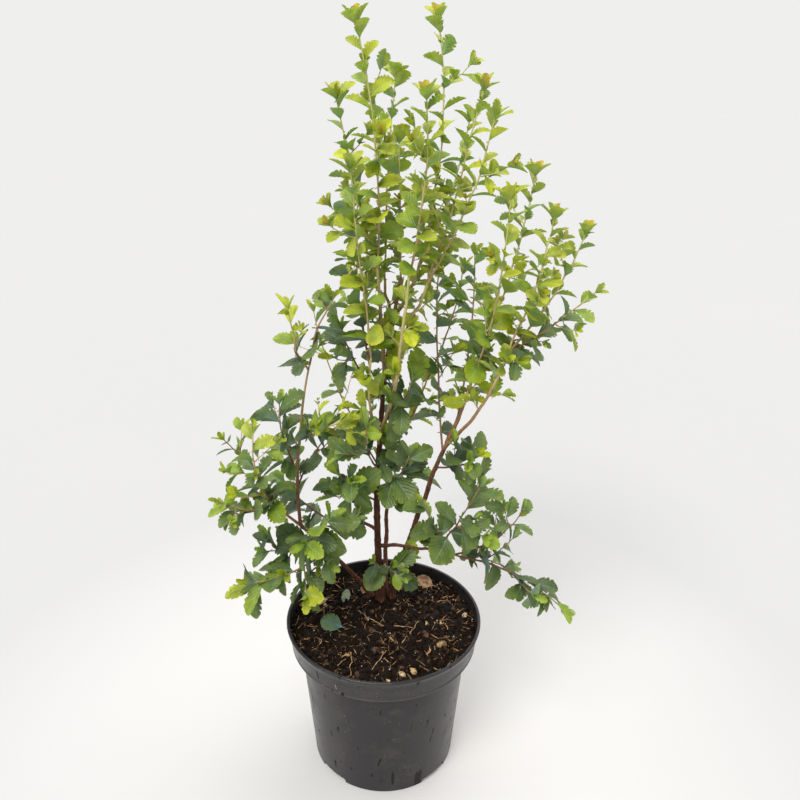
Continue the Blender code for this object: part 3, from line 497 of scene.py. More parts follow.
# Leaves on the compost: look, middle, length, turn, lean toward the front, form
FALLEN = (
    ("green", (-0.061, -0.011), 0.027, 2.75, 0.75, "broad"),
    ("pale", (-0.046, 0.039), 0.018, 1.35, 1.10, "small"),
    ("dry", (0.049, 0.071), 0.026, 2.75, 0.45, "broad"),
    ("dry", (0.034, 0.084), 0.021, 0.7, 0.20, "wedge"),
    ("dry", (-0.021, 0.060), 0.021, 4.0, 0.20, "wedge"),
    ("dry", (-0.074, 0.040), 0.016, 1.2, 0.20, "broad"),
)
FALLEN_GREEN = ((0.084, 0.158, 0.058), (0.130, 0.210, 0.130), (0.170, 0.260, 0.180), (0.14, 0.34, 0.12))
FALLEN_LIFT = 0.003

# Floor, room, lights (azimuth 0 from the front and 90 from the right, elevation, strength,
# spread, colour) and camera
FLOOR_NEAR = (0.560, 0.552, 0.544)
FLOOR_FAR = (0.421, 0.422, 0.426)
FLOOR_RADII = (0.4, 1.2, 4.0, 12.0)
ROOM_COLOUR = (0.995, 0.99, 0.985, 1)
ROOM_STRENGTH = 0.87
SUNS = (
    ("Light_front", -30, 52, 2.4, 30, (1.0, 0.99, 0.97)),
    ("Light_back", 150, 60, 1.6, 50, (1.0, 0.98, 0.95)),
    ("Light_left", -100, 35, 0.6, 50, (0.93, 0.96, 1.0)),
    ("Light_right", 105, 30, 0.3, 50, (1.0, 0.93, 0.84)),
)
LENS = 36.0
LENS_SHIFT = 0.0205
CAMERA_DIP = 23.47

Run = namedtuple("Run", "path first order radii age")
Stand = namedtuple("Stand", "foot along up length kind tint")
Solid = namedtuple("Solid", "points faces")


class Value:
    """A node's output, with the arithmetic that adds Math nodes to its tree."""

    def __init__(self, tree, socket):
        self.tree, self.socket = tree, socket

    def __add__(self, other):
        return self.tree.maths("ADD", self, other)

    def __sub__(self, other):
        return self.tree.maths("SUBTRACT", self, other)

    def __rsub__(self, other):
        return self.tree.maths("SUBTRACT", other, self)

    def __mul__(self, other):
        return self.tree.maths("MULTIPLY", self, other)

    __radd__ = __add__
    __rmul__ = __mul__


class Tree:
    """A tree of nodes in the making."""

    def __init__(self, nodes):
        self.nodes = nodes

    def add(self, kind, settings=None, sockets=None, out=0):
        """One node: its settings first, then a value or a link for each socket named."""
        node = self.nodes.nodes.new(kind)
        for name, value in (settings or {}).items():
            if name == "stops":
                set_stops(node.color_ramp, value)
            else:
                setattr(node, name, value)
        for key, value in (sockets or {}).items():
            if isinstance(value, Value):
                self.nodes.links.new(value.socket, node.inputs[key])
            else:
                node.inputs[key].default_value = value
        return Value(self, node.outputs[out]) if node.outputs else None

    def maths(self, operation, *terms):
        return self.add("ShaderNodeMath", {"operation": operation}, dict(enumerate(terms)))

    def between(self, value, low, high):
        """0 below low and 1 above high, straight between them."""
        return self.add("ShaderNodeMapRange", {}, {"Value": value, "From Min": low, "From Max": high})

    def stretched(self, place, scales):
        return self.add("ShaderNodeVectorMath", {"operation": "MULTIPLY"}, {0: place, 1: scales})

    def mottle(self, place, scale, detail=2.0, roughness=0.5):
        sockets = {"Vector": place, "Scale": scale, "Detail": detail, "Roughness": roughness}
        return self.add("ShaderNodeTexNoise", {}, sockets)


def set_stops(ramp, stops):
    """Gives a colour ramp its two ends, then each stop between them."""
    for end in (0, -1):
        ramp.elements[end].position, ramp.elements[end].color = stops[end][0], (*stops[end][1], 1)
    for place, colour in stops[1:-1]:
        ramp.elements.new(place).color = (*colour, 1)


class Finish(Tree):
    """A material in the making, on Object coordinates."""

    def __init__(self, name):
        self.material = bpy.data.materials.new(name)
        self.material.use_nodes = True
        self.material.node_tree.nodes.clear()
        super().__init__(self.material.node_tree)
        self.place = self.add("ShaderNodeTexCoord", out="Object")

    def blend(self, share, first, second):
        """Two colours, or values of colour, mixed by a share."""
        ends = [end if isinstance(end, Value) else (*end, 1) for end in (first, second)]
        return self.add("ShaderNodeMix", {"data_type": "RGBA"}, {0: share, 6: ends[0], 7: ends[1]}, out=2)

    def coat(self, colour, roughness, height=None, depth=0.0, through=None, share=0.0, gloss=0.5):
        """Ends the material: a Principled surface that may let some light through."""
        sockets = {"Base Color": colour, "Roughness": roughness, "Specular IOR Level": gloss}
        if height is not None:
            sockets["Normal"] = self.add("ShaderNodeBump", {}, {"Height": height, "Distance": depth})
        surface = self.add("ShaderNodeBsdfPrincipled", {}, sockets)
        if through:
            glow = self.add("ShaderNodeBsdfTranslucent", {}, {"Color": (*through, 1)})
            surface = self.add("ShaderNodeMixShader", {}, {0: share, 1: surface, 2: glow})
        self.add("ShaderNodeOutputMaterial", {}, {"Surface": surface})
        return self.material


class Shaper(Tree):
    """A tree of geometry nodes with named inputs, run once on a piece's mesh."""

    def __init__(self, name, inputs):
        super().__init__(bpy.data.node_groups.new(name, "GeometryNodeTree"))
        face = self.nodes.interface
        face.new_socket("Geometry", in_out="INPUT", socket_type="NodeSocketGeometry")
        face.new_socket("Geometry", in_out="OUTPUT", socket_type="NodeSocketGeometry")
        for label, kind in inputs.items():
            face.new_socket(label, in_out="INPUT", socket_type="NodeSocket" + kind)
        self.start = self.nodes.nodes.new("NodeGroupInput")

    def given(self, label):
        return Value(self, self.start.outputs[label])

    def named(self, label, kind="FLOAT"):
        return self.add("GeometryNodeInputNamedAttribute", {"data_type": kind}, {"Name": label})

    def end(self, shape):
        self.add("NodeGroupOutput", {}, {"Geometry": shape})

    def run(self, obj, **values):
        """Puts the result in the object as a plain mesh, with no modifier left."""
        modifier = obj.modifiers.new(self.nodes.name, "NODES")
        modifier.node_group = self.nodes
        for item in self.nodes.interface.items_tree:
            if item.in_out == "INPUT" and item.name in values:
                modifier[item.identifier] = values[item.name]
        graph = bpy.context.evaluated_depsgraph_get()
        shown = obj.evaluated_get(graph)
        made = bpy.data.meshes.new_from_object(shown, preserve_all_data_layers=True, depsgraph=graph)
        obj.modifiers.remove(modifier)
        spare, obj.data = obj.data, made
        bpy.data.meshes.remove(spare)
        made.name = obj.name
        return obj


def strand_shaper():
    """Round limbs and twigs along a mesh of edges, with a grained surface."""
    tree = Shaper("Round strands", {"Sides": "Int", "Relief": "Float", "Grain": "Float", "Wood": "Material"})
    wire = tree.add("GeometryNodeMeshToCurve", {}, {"Mesh": tree.given("Geometry")})
    ring = tree.add("GeometryNodeCurvePrimitiveCircle", {},
                    {"Resolution": tree.given("Sides"), "Radius": 1.0})
    thickness = tree.named("thickness")
    skin = tree.add("GeometryNodeCurveToMesh", {},
                    {"Curve": wire, "Profile Curve": ring, "Scale": thickness, "Fill Caps": True})
    place = tree.stretched(tree.add("GeometryNodeInputPosition"), (1.0, 1.0, 0.16))
    grain = tree.mottle(place, tree.given("Grain"), 3.0) - 0.5
    lift = grain * thickness * tree.given("Relief")
    push = tree.add("ShaderNodeVectorMath", {"operation": "SCALE"},
                    {0: tree.add("GeometryNodeInputNormal"), "Scale": lift})
    skin = tree.add("GeometryNodeSetPosition", {}, {"Geometry": skin, "Offset": push})
    skin = tree.add("GeometryNodeSetShadeSmooth", {}, {"Geometry": skin, "Shade Smooth": True})
    whole = tree.add("GeometryNodeRealizeInstances", {}, {"Geometry": skin})
    tree.end(tree.add("GeometryNodeSetMaterial", {}, {"Geometry": whole, "Material": tree.given("Wood")}))
    return tree


def leaf_shaper():
    """Leaves of several forms on points that carry their kind, aim and size."""
    labels = ("Blade", "Rib", "Underside")
    tree = Shaper("Stood leaves", {"Forms": "Collection", **{label: "Material" for label in labels}})
    forms = tree.add("GeometryNodeCollectionInfo", {},
                     {"Collection": tree.given("Forms"), "Separate Children": True, "Reset Children": True})
    aim = tree.add("FunctionNodeEulerToRotation", {}, {"Euler": tree.named("aim", "FLOAT_VECTOR")})
    stood = tree.add("GeometryNodeInstanceOnPoints", {}, {
        "Points": tree.given("Geometry"), "Instance": forms, "Pick Instance": True,
        "Instance Index": tree.named("kind", "INT"), "Rotation": aim, "Scale": tree.named("size")})
    whole = tree.add("GeometryNodeRealizeInstances", {}, {"Geometry": stood})
    part = tree.named("part", "INT")
    for number, label in enumerate(labels):
        here = tree.maths("COMPARE", part, number, 0.5)
        whole = tree.add("GeometryNodeSetMaterial", {},
                         {"Geometry": whole, "Selection": here, "Material": tree.given(label)})
    tree.end(whole)
    return tree


def litter_shaper():
    """Loose bits strewn over a surface, turned and sized at random from a seed."""
    tree = Shaper("Strewn bits", {
        "Bits": "Collection", "Density": "Float", "Seed": "Int", "Tilt": "Float", "Clumping": "Float",
        "Smallest": "Float", "Largest": "Float", "Finish": "Material"})
    seed, tilt = tree.given("Seed"), tree.given("Tilt")
    patches = tree.between(tree.mottle(tree.add("GeometryNodeInputPosition"), 42.0), 0.42, 0.62)
    density = tree.given("Density") * (1.0 - tree.given("Clumping") * (1.0 - patches))
    spots = tree.add("GeometryNodeDistributePointsOnFaces", {},
                     {"Mesh": tree.given("Geometry"), "Density": density, "Seed": seed})
    bits = tree.add("GeometryNodeCollectionInfo", {},
                    {"Collection": tree.given("Bits"), "Separate Children": True, "Reset Children": True})
    least = tree.add("ShaderNodeCombineXYZ", {}, {"X": tilt * -1.0, "Y": tilt * -1.0, "Z": 0.0})
    most = tree.add("ShaderNodeCombineXYZ", {}, {"X": tilt, "Y": tilt, "Z": math.tau})
    turn = tree.add("FunctionNodeRandomValue", {"data_type": "FLOAT_VECTOR"},
                    {0: least, 1: most, "Seed": seed})
    size = tree.add("FunctionNodeRandomValue", {"data_type": "FLOAT"},
                    {2: tree.given("Smallest"), 3: tree.given("Largest"), "Seed": seed + 1.0}, out=1)
    aim = tree.add("FunctionNodeEulerToRotation", {}, {"Euler": turn})
    stood = tree.add("GeometryNodeInstanceOnPoints", {}, {
        "Points": spots, "Instance": bits, "Pick Instance": True, "Rotation": aim, "Scale": size})
    whole = tree.add("GeometryNodeRealizeInstances", {}, {"Geometry": stood})
    tree.end(tree.add("GeometryNodeSetMaterial", {}, {"Geometry": whole, "Material": tree.given("Finish")}))
    return tree


class Path:
    """A run from start to tip that bows at its middle and wavers a little on the way."""

    def __init__(self, start, tip, bow, waver=0.0, seed=""):
        self.start, self.tip, self.bow = Vector(start), Vector(tip), Vector(bow)
        rng = random.Random(seed + " waver")
        self.waves = [
            (turns, rng.uniform(0, math.tau), Vector([rng.gauss(0, waver / turns) for _ in range(3)]))
            for turns in WAVER_TURNS]

    def at(self, share):
        middle = self.start.lerp(self.tip, share) + self.bow * (4 * share * (1 - share))
        for turns, phase, reach in self.waves:
            middle += reach * (math.sin(math.pi * share) * math.sin(math.tau * turns * share + phase))
        return middle

    def heading(self, share):
        return (self.at(share + 0.01) - self.at(share - 0.01)).normalized()

    def length(self):
        return (self.tip - self.start).length


def new_object(name, mesh):
    obj = bpy.data.objects.new(name, mesh)
    bpy.context.scene.collection.objects.link(obj)
    return obj


def mesh_of(name, points, faces, smooth_angle=None):
    """A closed mesh with its faces turned outward."""
    mesh = bpy.data.meshes.new(name)
    build = bmesh.new()
    corners = [build.verts.new(point) for point in points]
    for face in faces:
        build.faces.new([corners[index] for index in face])
    bmesh.ops.recalc_face_normals(build, faces=build.faces)
    build.to_mesh(mesh)
    build.free()
    if smooth_angle is not None:
        mesh.shade_smooth()
        mesh.set_sharp_from_angle(angle=smooth_angle)
    return mesh


def finished(obj, slot, *nodes):
    """Puts a piece on the part's one body and hides the solids that it stands for; the slot is not used."""
    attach(obj, "root")
    if nodes:
        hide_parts(*nodes)
    return obj


# Finishes


def pot_finish():
    """Satin black plastic with faint drag marks, dust, small specks, drips, and a painted highlight round the
    collar's foot.
    """
    skin = Finish("pot_plastic")
    level = skin.add("ShaderNodeSeparateXYZ", {}, {0: skin.place}, out=2)
    drag = skin.mottle(skin.stretched(skin.place, (1.0, 1.0, 0.05)), 150.0, 3.0)
    cloud = skin.mottle(skin.place, 24.0, 4.0, 0.6)
    scuffs = skin.mottle(skin.stretched(skin.place, (1.0, 1.0, 2.4)), 60.0, 5.0, 0.7)
    dust = skin.between(cloud * 0.7 + scuffs * 0.5, 0.60, 0.84)
    chips = skin.add("ShaderNodeTexVoronoi", {"feature": "F1"}, {"Vector": skin.place, "Scale": 170.0})
    speck = skin.between(chips, 0.14, 0.06) * skin.between(cloud + scuffs * 0.5, 0.66, 0.84)
    runs = skin.mottle(skin.stretched(skin.place, (1.0, 1.0, 0.14)), 85.0, 1.0)
    drops = skin.mottle(skin.stretched(skin.place, (1.0, 1.0, 0.34)), 150.0, 1.0)
    drip = skin.maths("MAXIMUM", skin.between(runs, 0.66, 0.68) * skin.between(level, 0.120, 0.080),
                    skin.between(drops, 0.705, 0.730))
    # A pale band round the collar's foot: a painted highlight, mixed in the dust's colour.
    ledge_highlight = skin.between(level, 0.1565, 0.1582) * skin.between(level, 0.1625, 0.1600)
    colour = skin.blend(dust * 0.26 + ledge_highlight * 0.22, (0.0200, 0.0180, 0.0190), (0.130, 0.115, 0.104))
    colour = skin.blend(speck * 0.7, colour, (0.230, 0.180, 0.140))
    colour = skin.blend(drip, colour, (0.0020, 0.0018, 0.0018))
    grain = skin.mottle(skin.place, 1500.0, 2.0)
    height = grain * 0.08 + drag * 0.10 + cloud * 0.9 + drip * 0.3
    roughness = dust * 0.24 + speck * 0.3 + drag * 0.05 + drip * 0.25 + 0.26
    return skin.coat(colour, roughness, height, 0.0003, gloss=0.32)


def compost_finish():
    """Damp peat: near black with brown crumbs."""
    peat = Finish("compost")
    crumbs = peat.mottle(peat.place, 420.0, 4.0, 0.65)
    patches = peat.mottle(peat.place, 45.0, 3.0)
    brown = peat.between(crumbs * 0.7 + patches * 0.5, 0.52, 0.80)
    colour = peat.blend(brown, (0.0021, 0.0012, 0.0008), (0.0165, 0.0078, 0.0036))
    return peat.coat(colour, 0.95 - brown * 0.2, crumbs, 0.0008, gloss=0.2)


def bark_finish(name, streakiness, depth):
    """Old wood dark and streaked, younger wood red-brown, the youngest tan to pale green."""
    bark = Finish(name)
    age = bark.add("ShaderNodeAttribute", {"attribute_name": "youth"}, out="Fac")
    streaks = bark.mottle(bark.stretched(bark.place, (1.0, 1.0, 0.10)), 900.0, 4.0, 0.6)
    flecks = bark.mottle(bark.place, 330.0, 3.0, 0.6)
    shade = bark.add("ShaderNodeValToRGB", {"stops": (
        (0.00, (0.100, 0.036, 0.019)), (0.30, (0.130, 0.046, 0.023)), (0.58, (0.185, 0.072, 0.034)),
        (0.80, (0.430, 0.260, 0.130)), (0.90, (0.540, 0.430, 0.200)), (1.00, (0.500, 0.500, 0.170)))},
        {"Fac": age + flecks * 0.16 - 0.08})
    dark = bark.between(streaks, 0.44, 0.60) * (1.0 - bark.between(age, 0.35, 0.95) * 0.8)
    colour = bark.blend(dark * streakiness, shade, (0.022, 0.012, 0.009))
    pale = bark.between(flecks, 0.58, 0.70) * bark.between(streaks, 0.55, 0.38)
    colour = bark.blend(pale * 0.45, colour, (0.400, 0.190, 0.085))
    roughness = 0.72 - bark.between(age, 0.4, 1.0) * 0.2
    return bark.coat(colour, roughness, streaks + flecks, depth, gloss=0.25)


def leaf_finish(name, colour, through, share, roughness):
    """A leaf's own green, uneven from leaf to leaf, with side veins, a yellower edge and tip, and a painted
    bluish sheen in the middle.
    """
    leaf = Finish(name)
    along, side = (leaf.add("ShaderNodeSeparateXYZ", {}, {0: leaf.add(
        "ShaderNodeAttribute", {"attribute_name": "blade"}, out="Vector")}, out=axis) for axis in (0, 1))
    run = (along - leaf.maths("ABSOLUTE", side) * VEIN_SLANT) * VEINS
    ridge = leaf.maths("PINGPONG", run, 0.5) * 2.0
    vein = leaf.between(ridge, 0.26, 0.06)
    uneven = leaf.between(leaf.mottle(leaf.place, 90.0, 2.0), 0.34, 0.66)
    edge = leaf.between(leaf.maths("ABSOLUTE", side) * 1.3 + along * 0.5, 0.20, 0.85)
    # Middle to edge: the middle's bluer tone is a painted sheen, the edge's yellower tone is the leaf's own.
    tones_with_sheen = [leaf.blend(edge, [part * gain for part, gain in zip(colour, inner)],
                         [min(0.9, part * gain) for part, gain in zip(colour, outer)])
              for inner, outer in (BLADE_GAINS_WITH_SHEEN[:2], BLADE_GAINS_WITH_SHEEN[2:])]
    base = leaf.blend(uneven, *tones_with_sheen)
    base = leaf.blend(vein * 0.34, base, [min(0.9, part * 1.7 + 0.03) for part in colour])
    bloom = leaf.mottle(leaf.place, 420.0, 2.0) * 0.16 + (roughness - 0.08)
    return leaf.coat(base, bloom, ridge, 0.00032, through=through, share=share)


def plain_finish(name, low, high, scale, roughness, gloss=0.3):
    """Two near colours mixed in patches, for straw, grit, pebbles and dry leaves."""
    bit = Finish(name)
    patches = bit.mottle(bit.place, scale, 3.0, 0.6)
    colour = bit.blend(bit.between(patches, 0.40, 0.62), low, high)
    return bit.coat(colour, roughness + patches * 0.1, patches, 0.0003, gloss=gloss)


# Pot and compost


def turned(profile, segments, height=None):
    """A profile of (radius, height) from the axis round to the axis, turned about +Z."""
    points, faces, rings = [], [], []
    for radius, z in profile:
        if radius == 0:
            points.append(Vector((0, 0, height(0, 0, z) if height else z)))
            rings.append([len(points) - 1] * segments)
            continue
        rings.append(list(range(len(points), len(points) + segments)))
        for step in range(segments):
            angle = math.tau * step / segments
            x, y = radius * math.cos(angle), radius * math.sin(angle)
            points.append(Vector((x, y, height(x, y, z) if height else z)))
    for low, high in zip(rings, rings[1:]):
        for step in range(segments):
            after = (step + 1) % segments
            faces.append(tuple(dict.fromkeys((low[step], low[after], high[after], high[step]))))
    return Solid(points, faces)


def arc(middle, radius, first, last, steps):
    """Points of a rounded corner in a profile, by its angles in degrees."""
    return [(middle[0] + radius * math.cos(math.radians(first + (last - first) * step / steps)),
             middle[1] + radius * math.sin(math.radians(first + (last - first) * step / steps)))
            for step in range(steps + 1)]


def pot_profile():
    """Outer side from the middle of the underside up to the rounded lip, then the inner side."""
    collar_foot = POT_HEIGHT - COLLAR_HEIGHT
    lip_foot = POT_HEIGHT - LIP_HEIGHT
    collar_top = RIM_RADIUS - LIP_OVERHANG
    slope = (BODY_TOP_RADIUS - BASE_RADIUS) / (collar_foot - BASE_CHAMFER)
    wall_rows = [(BASE_RADIUS + slope * (z - BASE_CHAMFER), z) for z in (*WALL_ROWS, collar_foot - 0.001)]
    recess, step, ring = FOOT_RING
    return (
        [(0, UNDERSIDE_RISE), (recess, UNDERSIDE_RISE), (step, 0.0001), (ring, 0), (BASE_RADIUS - 0.004, 0)]
        + arc((BASE_RADIUS - BASE_CHAMFER, BASE_CHAMFER), BASE_CHAMFER, -90, 0, 5)
        + wall_rows
        + [(BODY_TOP_RADIUS + 0.0008, collar_foot + 0.0004),
           (COLLAR_FOOT_RADIUS - 2 * COLLAR_ROUND, collar_foot)]
        + arc((COLLAR_FOOT_RADIUS - COLLAR_ROUND, collar_foot + COLLAR_ROUND), COLLAR_ROUND, -90, 0, 4)
        + [(COLLAR_FOOT_RADIUS + 0.0002, collar_foot + 0.0030),
           (COLLAR_FOOT_RADIUS - 0.0001, collar_foot + 0.0036),
           (collar_top - 0.0008, lip_foot - 0.006), (collar_top, lip_foot - 0.0012),
           (RIM_RADIUS - 0.0006, lip_foot)]
        + arc((RIM_RADIUS - LIP_ROUND, POT_HEIGHT - LIP_ROUND), LIP_ROUND, -20, 100, 8)
        + [(RIM_RADIUS - 0.0034, POT_HEIGHT - 0.0004), (collar_top - WALL - 0.0006, lip_foot),
           (collar_top - WALL - 0.0008, lip_foot - 0.004),
           (COLLAR_FOOT_RADIUS - WALL, collar_foot + 2 * WALL),
           (BODY_TOP_RADIUS - WALL, collar_foot + WALL), (BASE_RADIUS - WALL, FLOOR), (0, FLOOR)]
    )


def wedge_cutter(name, middle, width, inner, outer, low, high, slope=0.0):
    """A block between two radii that may lean with the wall, with rounded upper corners."""
    corners, faces = [], []
    across, down = CUT_CORNER
    outline = [(-0.5, low)] + [(-0.5 + across * (1 - math.cos(turn)), high - down * (1 - math.sin(turn)))
                               for turn in (0, 0.5, 1.0, math.pi / 2)]
    outline += [(-side, z) for side, z in reversed(outline)]
    for radius in (inner, outer):
        for side, z in outline:
            angle = middle + side * width
            reach = radius + slope * z
            corners.append(Vector((reach * math.cos(angle), reach * math.sin(angle), z)))
    count = len(outline)
    for step in range(count):
        after = (step + 1) % count
        faces.append((step, after, count + after, count + step))
    faces += [tuple(range(count)), tuple(range(count, 2 * count))]
    return new_object(name, mesh_of(name, corners, faces))


def make_pot():
    """The pot, with its drain notches and a short moulded groove cut in the front."""
    solid = turned(pot_profile(), POT_SEGMENTS)
    pot = new_object("moulded_pot", mesh_of("moulded_pot", solid.points, solid.faces))
    cutters = [wedge_cutter(f"notch_{number}", math.tau * (number + 0.5) / NOTCHES, NOTCH_ANGLE,
                            BASE_RADIUS - NOTCH_DEPTH, BASE_RADIUS + NOTCH_DEPTH, -NOTCH_SPARE, NOTCH_HEIGHT)
               for number in range(NOTCHES)]
    slope = (BODY_TOP_RADIUS - BASE_RADIUS) / (POT_HEIGHT - COLLAR_HEIGHT)
    cutters.append(wedge_cutter("groove", GROOVE_TURN, GROOVE_WIDTH, BASE_RADIUS - GROOVE_DEPTH,
                                BASE_RADIUS + GROOVE_SPARE, *GROOVE_ENDS, slope))
    for cutter in cutters:
        cut = pot.modifiers.new(cutter.name, "BOOLEAN")
        cut.operation, cut.object = "DIFFERENCE", cutter
    graph = bpy.context.evaluated_depsgraph_get()
    mesh = bpy.data.meshes.new_from_object(pot.evaluated_get(graph), depsgraph=graph)
    pot.modifiers.clear()
    pot.data = mesh
    for cutter in cutters:
        bpy.data.objects.remove(cutter)
    mesh.shade_smooth()
    mesh.set_sharp_from_angle(angle=POT_SMOOTH_ANGLE)
    mesh.materials.append(pot_finish())
    return finished(pot, "pot_plastic", "pot")


def soil_height(x, y):
    """The compost's surface: lumpy, lower at the rim, quieter round the stems."""
    rise = sum(height * noise.noise(Vector((x, y, number)) * scale)
               for number, (scale, height) in enumerate(SOIL_LUMPS))
    near = math.hypot(x - STEMS_AT.x, y - STEMS_AT.y) / SOIL_FLAT_RADIUS
    calm = min(1, SOIL_CALM + (1 - SOIL_CALM) * near)
    return SOIL_LEVEL + rise * calm - SOIL_RIM_DROP * (math.hypot(x, y) / SOIL_RADIUS) ** 4


def make_soil():
    """The compost fills the pot below its lumpy surface."""
    shoulder = POT_HEIGHT - COLLAR_HEIGHT + 2 * WALL + 2 * SOIL_GAP
    below = [(0, FLOOR + SOIL_GAP), (BASE_RADIUS - WALL - SOIL_GAP, FLOOR + SOIL_GAP),
             (BODY_TOP_RADIUS - WALL - 2 * SOIL_GAP, shoulder),
             (COLLAR_FOOT_RADIUS - WALL - SOIL_GAP, shoulder + WALL)]
    top = [(SOIL_RADIUS * (1 - ring / SOIL_RINGS), SOIL_LEVEL) for ring in range(SOIL_RINGS)]

    def height(x, y, z):
        return soil_height(x, y) if z == SOIL_LEVEL else z

    solid = turned(below + top + [(0, SOIL_LEVEL)], SOIL_SEGMENTS, height)
    soil = new_object("compost_bed", mesh_of("compost_bed", solid.points, solid.faces, math.radians(180)))
    soil.data.materials.append(compost_finish())
    return finished(soil, "compost", "soil")


def lump(rng, rings, segments, flat, rough):
    """An uneven rounded bit, one unit across."""
    profile = [(0, -0.5 * flat)]
    profile += [(0.5 * math.sin(math.pi * ring / rings), -0.5 * flat * math.cos(math.pi * ring / rings))
                for ring in range(1, rings)]
    solid = turned(profile + [(0, 0.5 * flat)], segments)
    points = [point * (1 + rng.uniform(-rough, rough)) for point in solid.points]
    return points, solid.faces


def tube_faces(rings, sides):
    """The side faces of a tube whose rings of points follow each other."""
    return [(low + side, low + (side + 1) % sides, low + sides + (side + 1) % sides, low + sides + side)
            for low in range(0, (rings - 1) * sides, sides) for side in range(sides)]


def sliver(bend):
    """A bent straw one unit long with three sides."""
    points = []
    for ring in range(STRAW_RINGS):
        share = ring / (STRAW_RINGS - 1)
        radius = STRAW_RADIUS * (0.6 + 0.8 * math.sin(math.pi * share))
        middle = Vector((share - 0.5, bend * math.sin(math.pi * share), 0.35 * bend * share))
        for side in range(STRAW_SIDES):
            angle = math.tau * side / STRAW_SIDES
            points.append(middle + Vector((0, radius * math.cos(angle), radius * math.sin(angle))))
    ends = [tuple(range(STRAW_SIDES)), tuple(range(len(points) - STRAW_SIDES, len(points)))]
    return points, tube_faces(STRAW_RINGS, STRAW_SIDES) + ends


def bits_of(name, shapes, smooth_angle=None):
    """A collection of small shapes to strew."""
    group = bpy.data.collections.new(name)
    for number, (points, faces) in enumerate(shapes):
        label = f"{name}_{number:02d}"
        group.objects.link(bpy.data.objects.new(label, mesh_of(label, points, faces, smooth_angle)))
    return group


def drop_group(group):
    for obj in list(group.objects):
        bpy.data.objects.remove(obj)
    bpy.data.collections.remove(group)


def make_litter(strew):
    """Crumbs, bark chips, straw and grit over the compost."""
    rng = random.Random("litter")
    edge = SOIL_RADIUS * LITTER_EDGE
    rings = [(edge * (1 - ring / LITTER_RINGS), SOIL_LEVEL) for ring in range(LITTER_RINGS)]
    rings.append((0, SOIL_LEVEL))
    solid = turned(rings, LITTER_SEGMENTS, lambda x, y, z: soil_height(x, y) + LITTER_LIFT)
    for number, kind in enumerate(LITTER):
        shapes = [lump(rng, *kind.shape) if kind.shape else sliver(rng.uniform(-STRAW_BEND, STRAW_BEND))
                  for _ in range(kind.shapes)]
        bits = bits_of(kind.name, shapes)
        bed = bpy.data.meshes.new(kind.name)
        bed.from_pydata(solid.points, [], solid.faces)
        obj = new_object(kind.name, bed)
        strew.run(obj, Bits=bits, Density=kind.density, Seed=number + FIRST_SEED, Tilt=kind.tilt,
                  Clumping=kind.clumping, Smallest=kind.smallest, Largest=kind.largest,
                  Finish=plain_finish(*kind.finish))
        drop_group(bits)
        finished(obj, "compost")


def make_long_straws(shape):
    """The few longer straws that stick out of the compost."""
    thick, taper = LONG_STRAW_RADII
    strands = []
    for number, ends in enumerate(LONG_STRAWS):
        foot, tip = (Vector((x, y, soil_height(x, y) + up)) for x, y, up in ends)
        path = Path(foot, tip, (0, 0, 0.0006), 0.0010, f"straw {number}")
        strands.append(strand_along(path, lambda share: thick - taper * share, LONG_STRAW_STEP))
    obj = new_object("long_straws", wire_mesh("long_straws", strands))
    straw = plain_finish("long_straw", (0.240, 0.120, 0.048), (0.620, 0.400, 0.190), 200.0, 0.60)
    shape.run(obj, Sides=6, Relief=0.3, Grain=900.0, Wood=straw)
    return finished(obj, "compost")


def make_pebbles():
    """Pale and tan pebbles half sunk in the compost."""
    rng = random.Random("pebbles")
    (large_scale, large), (small_scale, small) = PEBBLE_SWELLS
    points, faces, tones = [], [], []
    for x, y, size, tone in PEBBLES:
        shape, rings = lump(rng, *PEBBLE_MESH, rng.uniform(*PEBBLE_FLATNESS), 0.0)
        turn = Matrix.Rotation(rng.uniform(0, math.tau), 3, "Z")
        turn = turn @ Matrix.Diagonal((PEBBLE_LENGTH, rng.uniform(*PEBBLE_WIDTHS), 1.0))
        middle = Vector((x, y, soil_height(x, y) + size * PEBBLE_RISE))
        first = len(points)
        for point in shape:
            swell = (1 + large * noise.noise(point * large_scale + middle * PEBBLE_SPREAD)
                     + small * noise.noise(point * small_scale))
            points.append(middle + turn @ point * size * swell)
        faces += [tuple(first + index for index in face) for face in rings]
        tones += [tone] * len(rings)
    mesh = mesh_of("pebbles", points, faces, math.radians(60))
    for finish in (plain_finish("pebble_tan", (0.150, 0.090, 0.036), (0.480, 0.330, 0.150), 240.0, 0.50),
                   plain_finish("pebble_buff", (0.200, 0.140, 0.075), (0.560, 0.440, 0.260), 240.0, 0.50)):
        mesh.materials.append(finish)
    for face, tone in zip(mesh.polygons, tones):
        face.material_index = tone
    return finished(new_object("pebbles", mesh), "compost")


# Limbs and twigs


def smoothly(strand, first, last):
    """A closing pair of points that round off a strand's tip."""
    heading = (strand[-1][0] - strand[-2][0]).normalized()
    for reach, share in TIP_ROUND:
        strand.append((last + heading * first * reach, first * share))
    return strand


def wire_mesh(name, strands, ages=()):
    """Edges through every strand's points, which carry their thickness.

    Ages gives each strand's youth at its foot and its tip, which the points of wood carry too.
    """
    points, edges, thickness = [], [], []
    for strand in strands:
        first = len(points)
        points += [point for point, _ in strand]
        thickness += [radius for _, radius in strand]
        edges += [(number, number + 1) for number in range(first, len(points) - 1)]
    mesh = bpy.data.meshes.new(name)
    mesh.from_pydata(points, edges, [])
    mesh.attributes.new("thickness", "FLOAT", "POINT").data.foreach_set("value", thickness)
    if ages:
        youth = [low + (high - low) * number / (len(strand) - 1)
                 for strand, (low, high) in zip(strands, ages) for number in range(len(strand))]
        mesh.attributes.new("youth", "FLOAT", "POINT").data.foreach_set("value", youth)
    return mesh


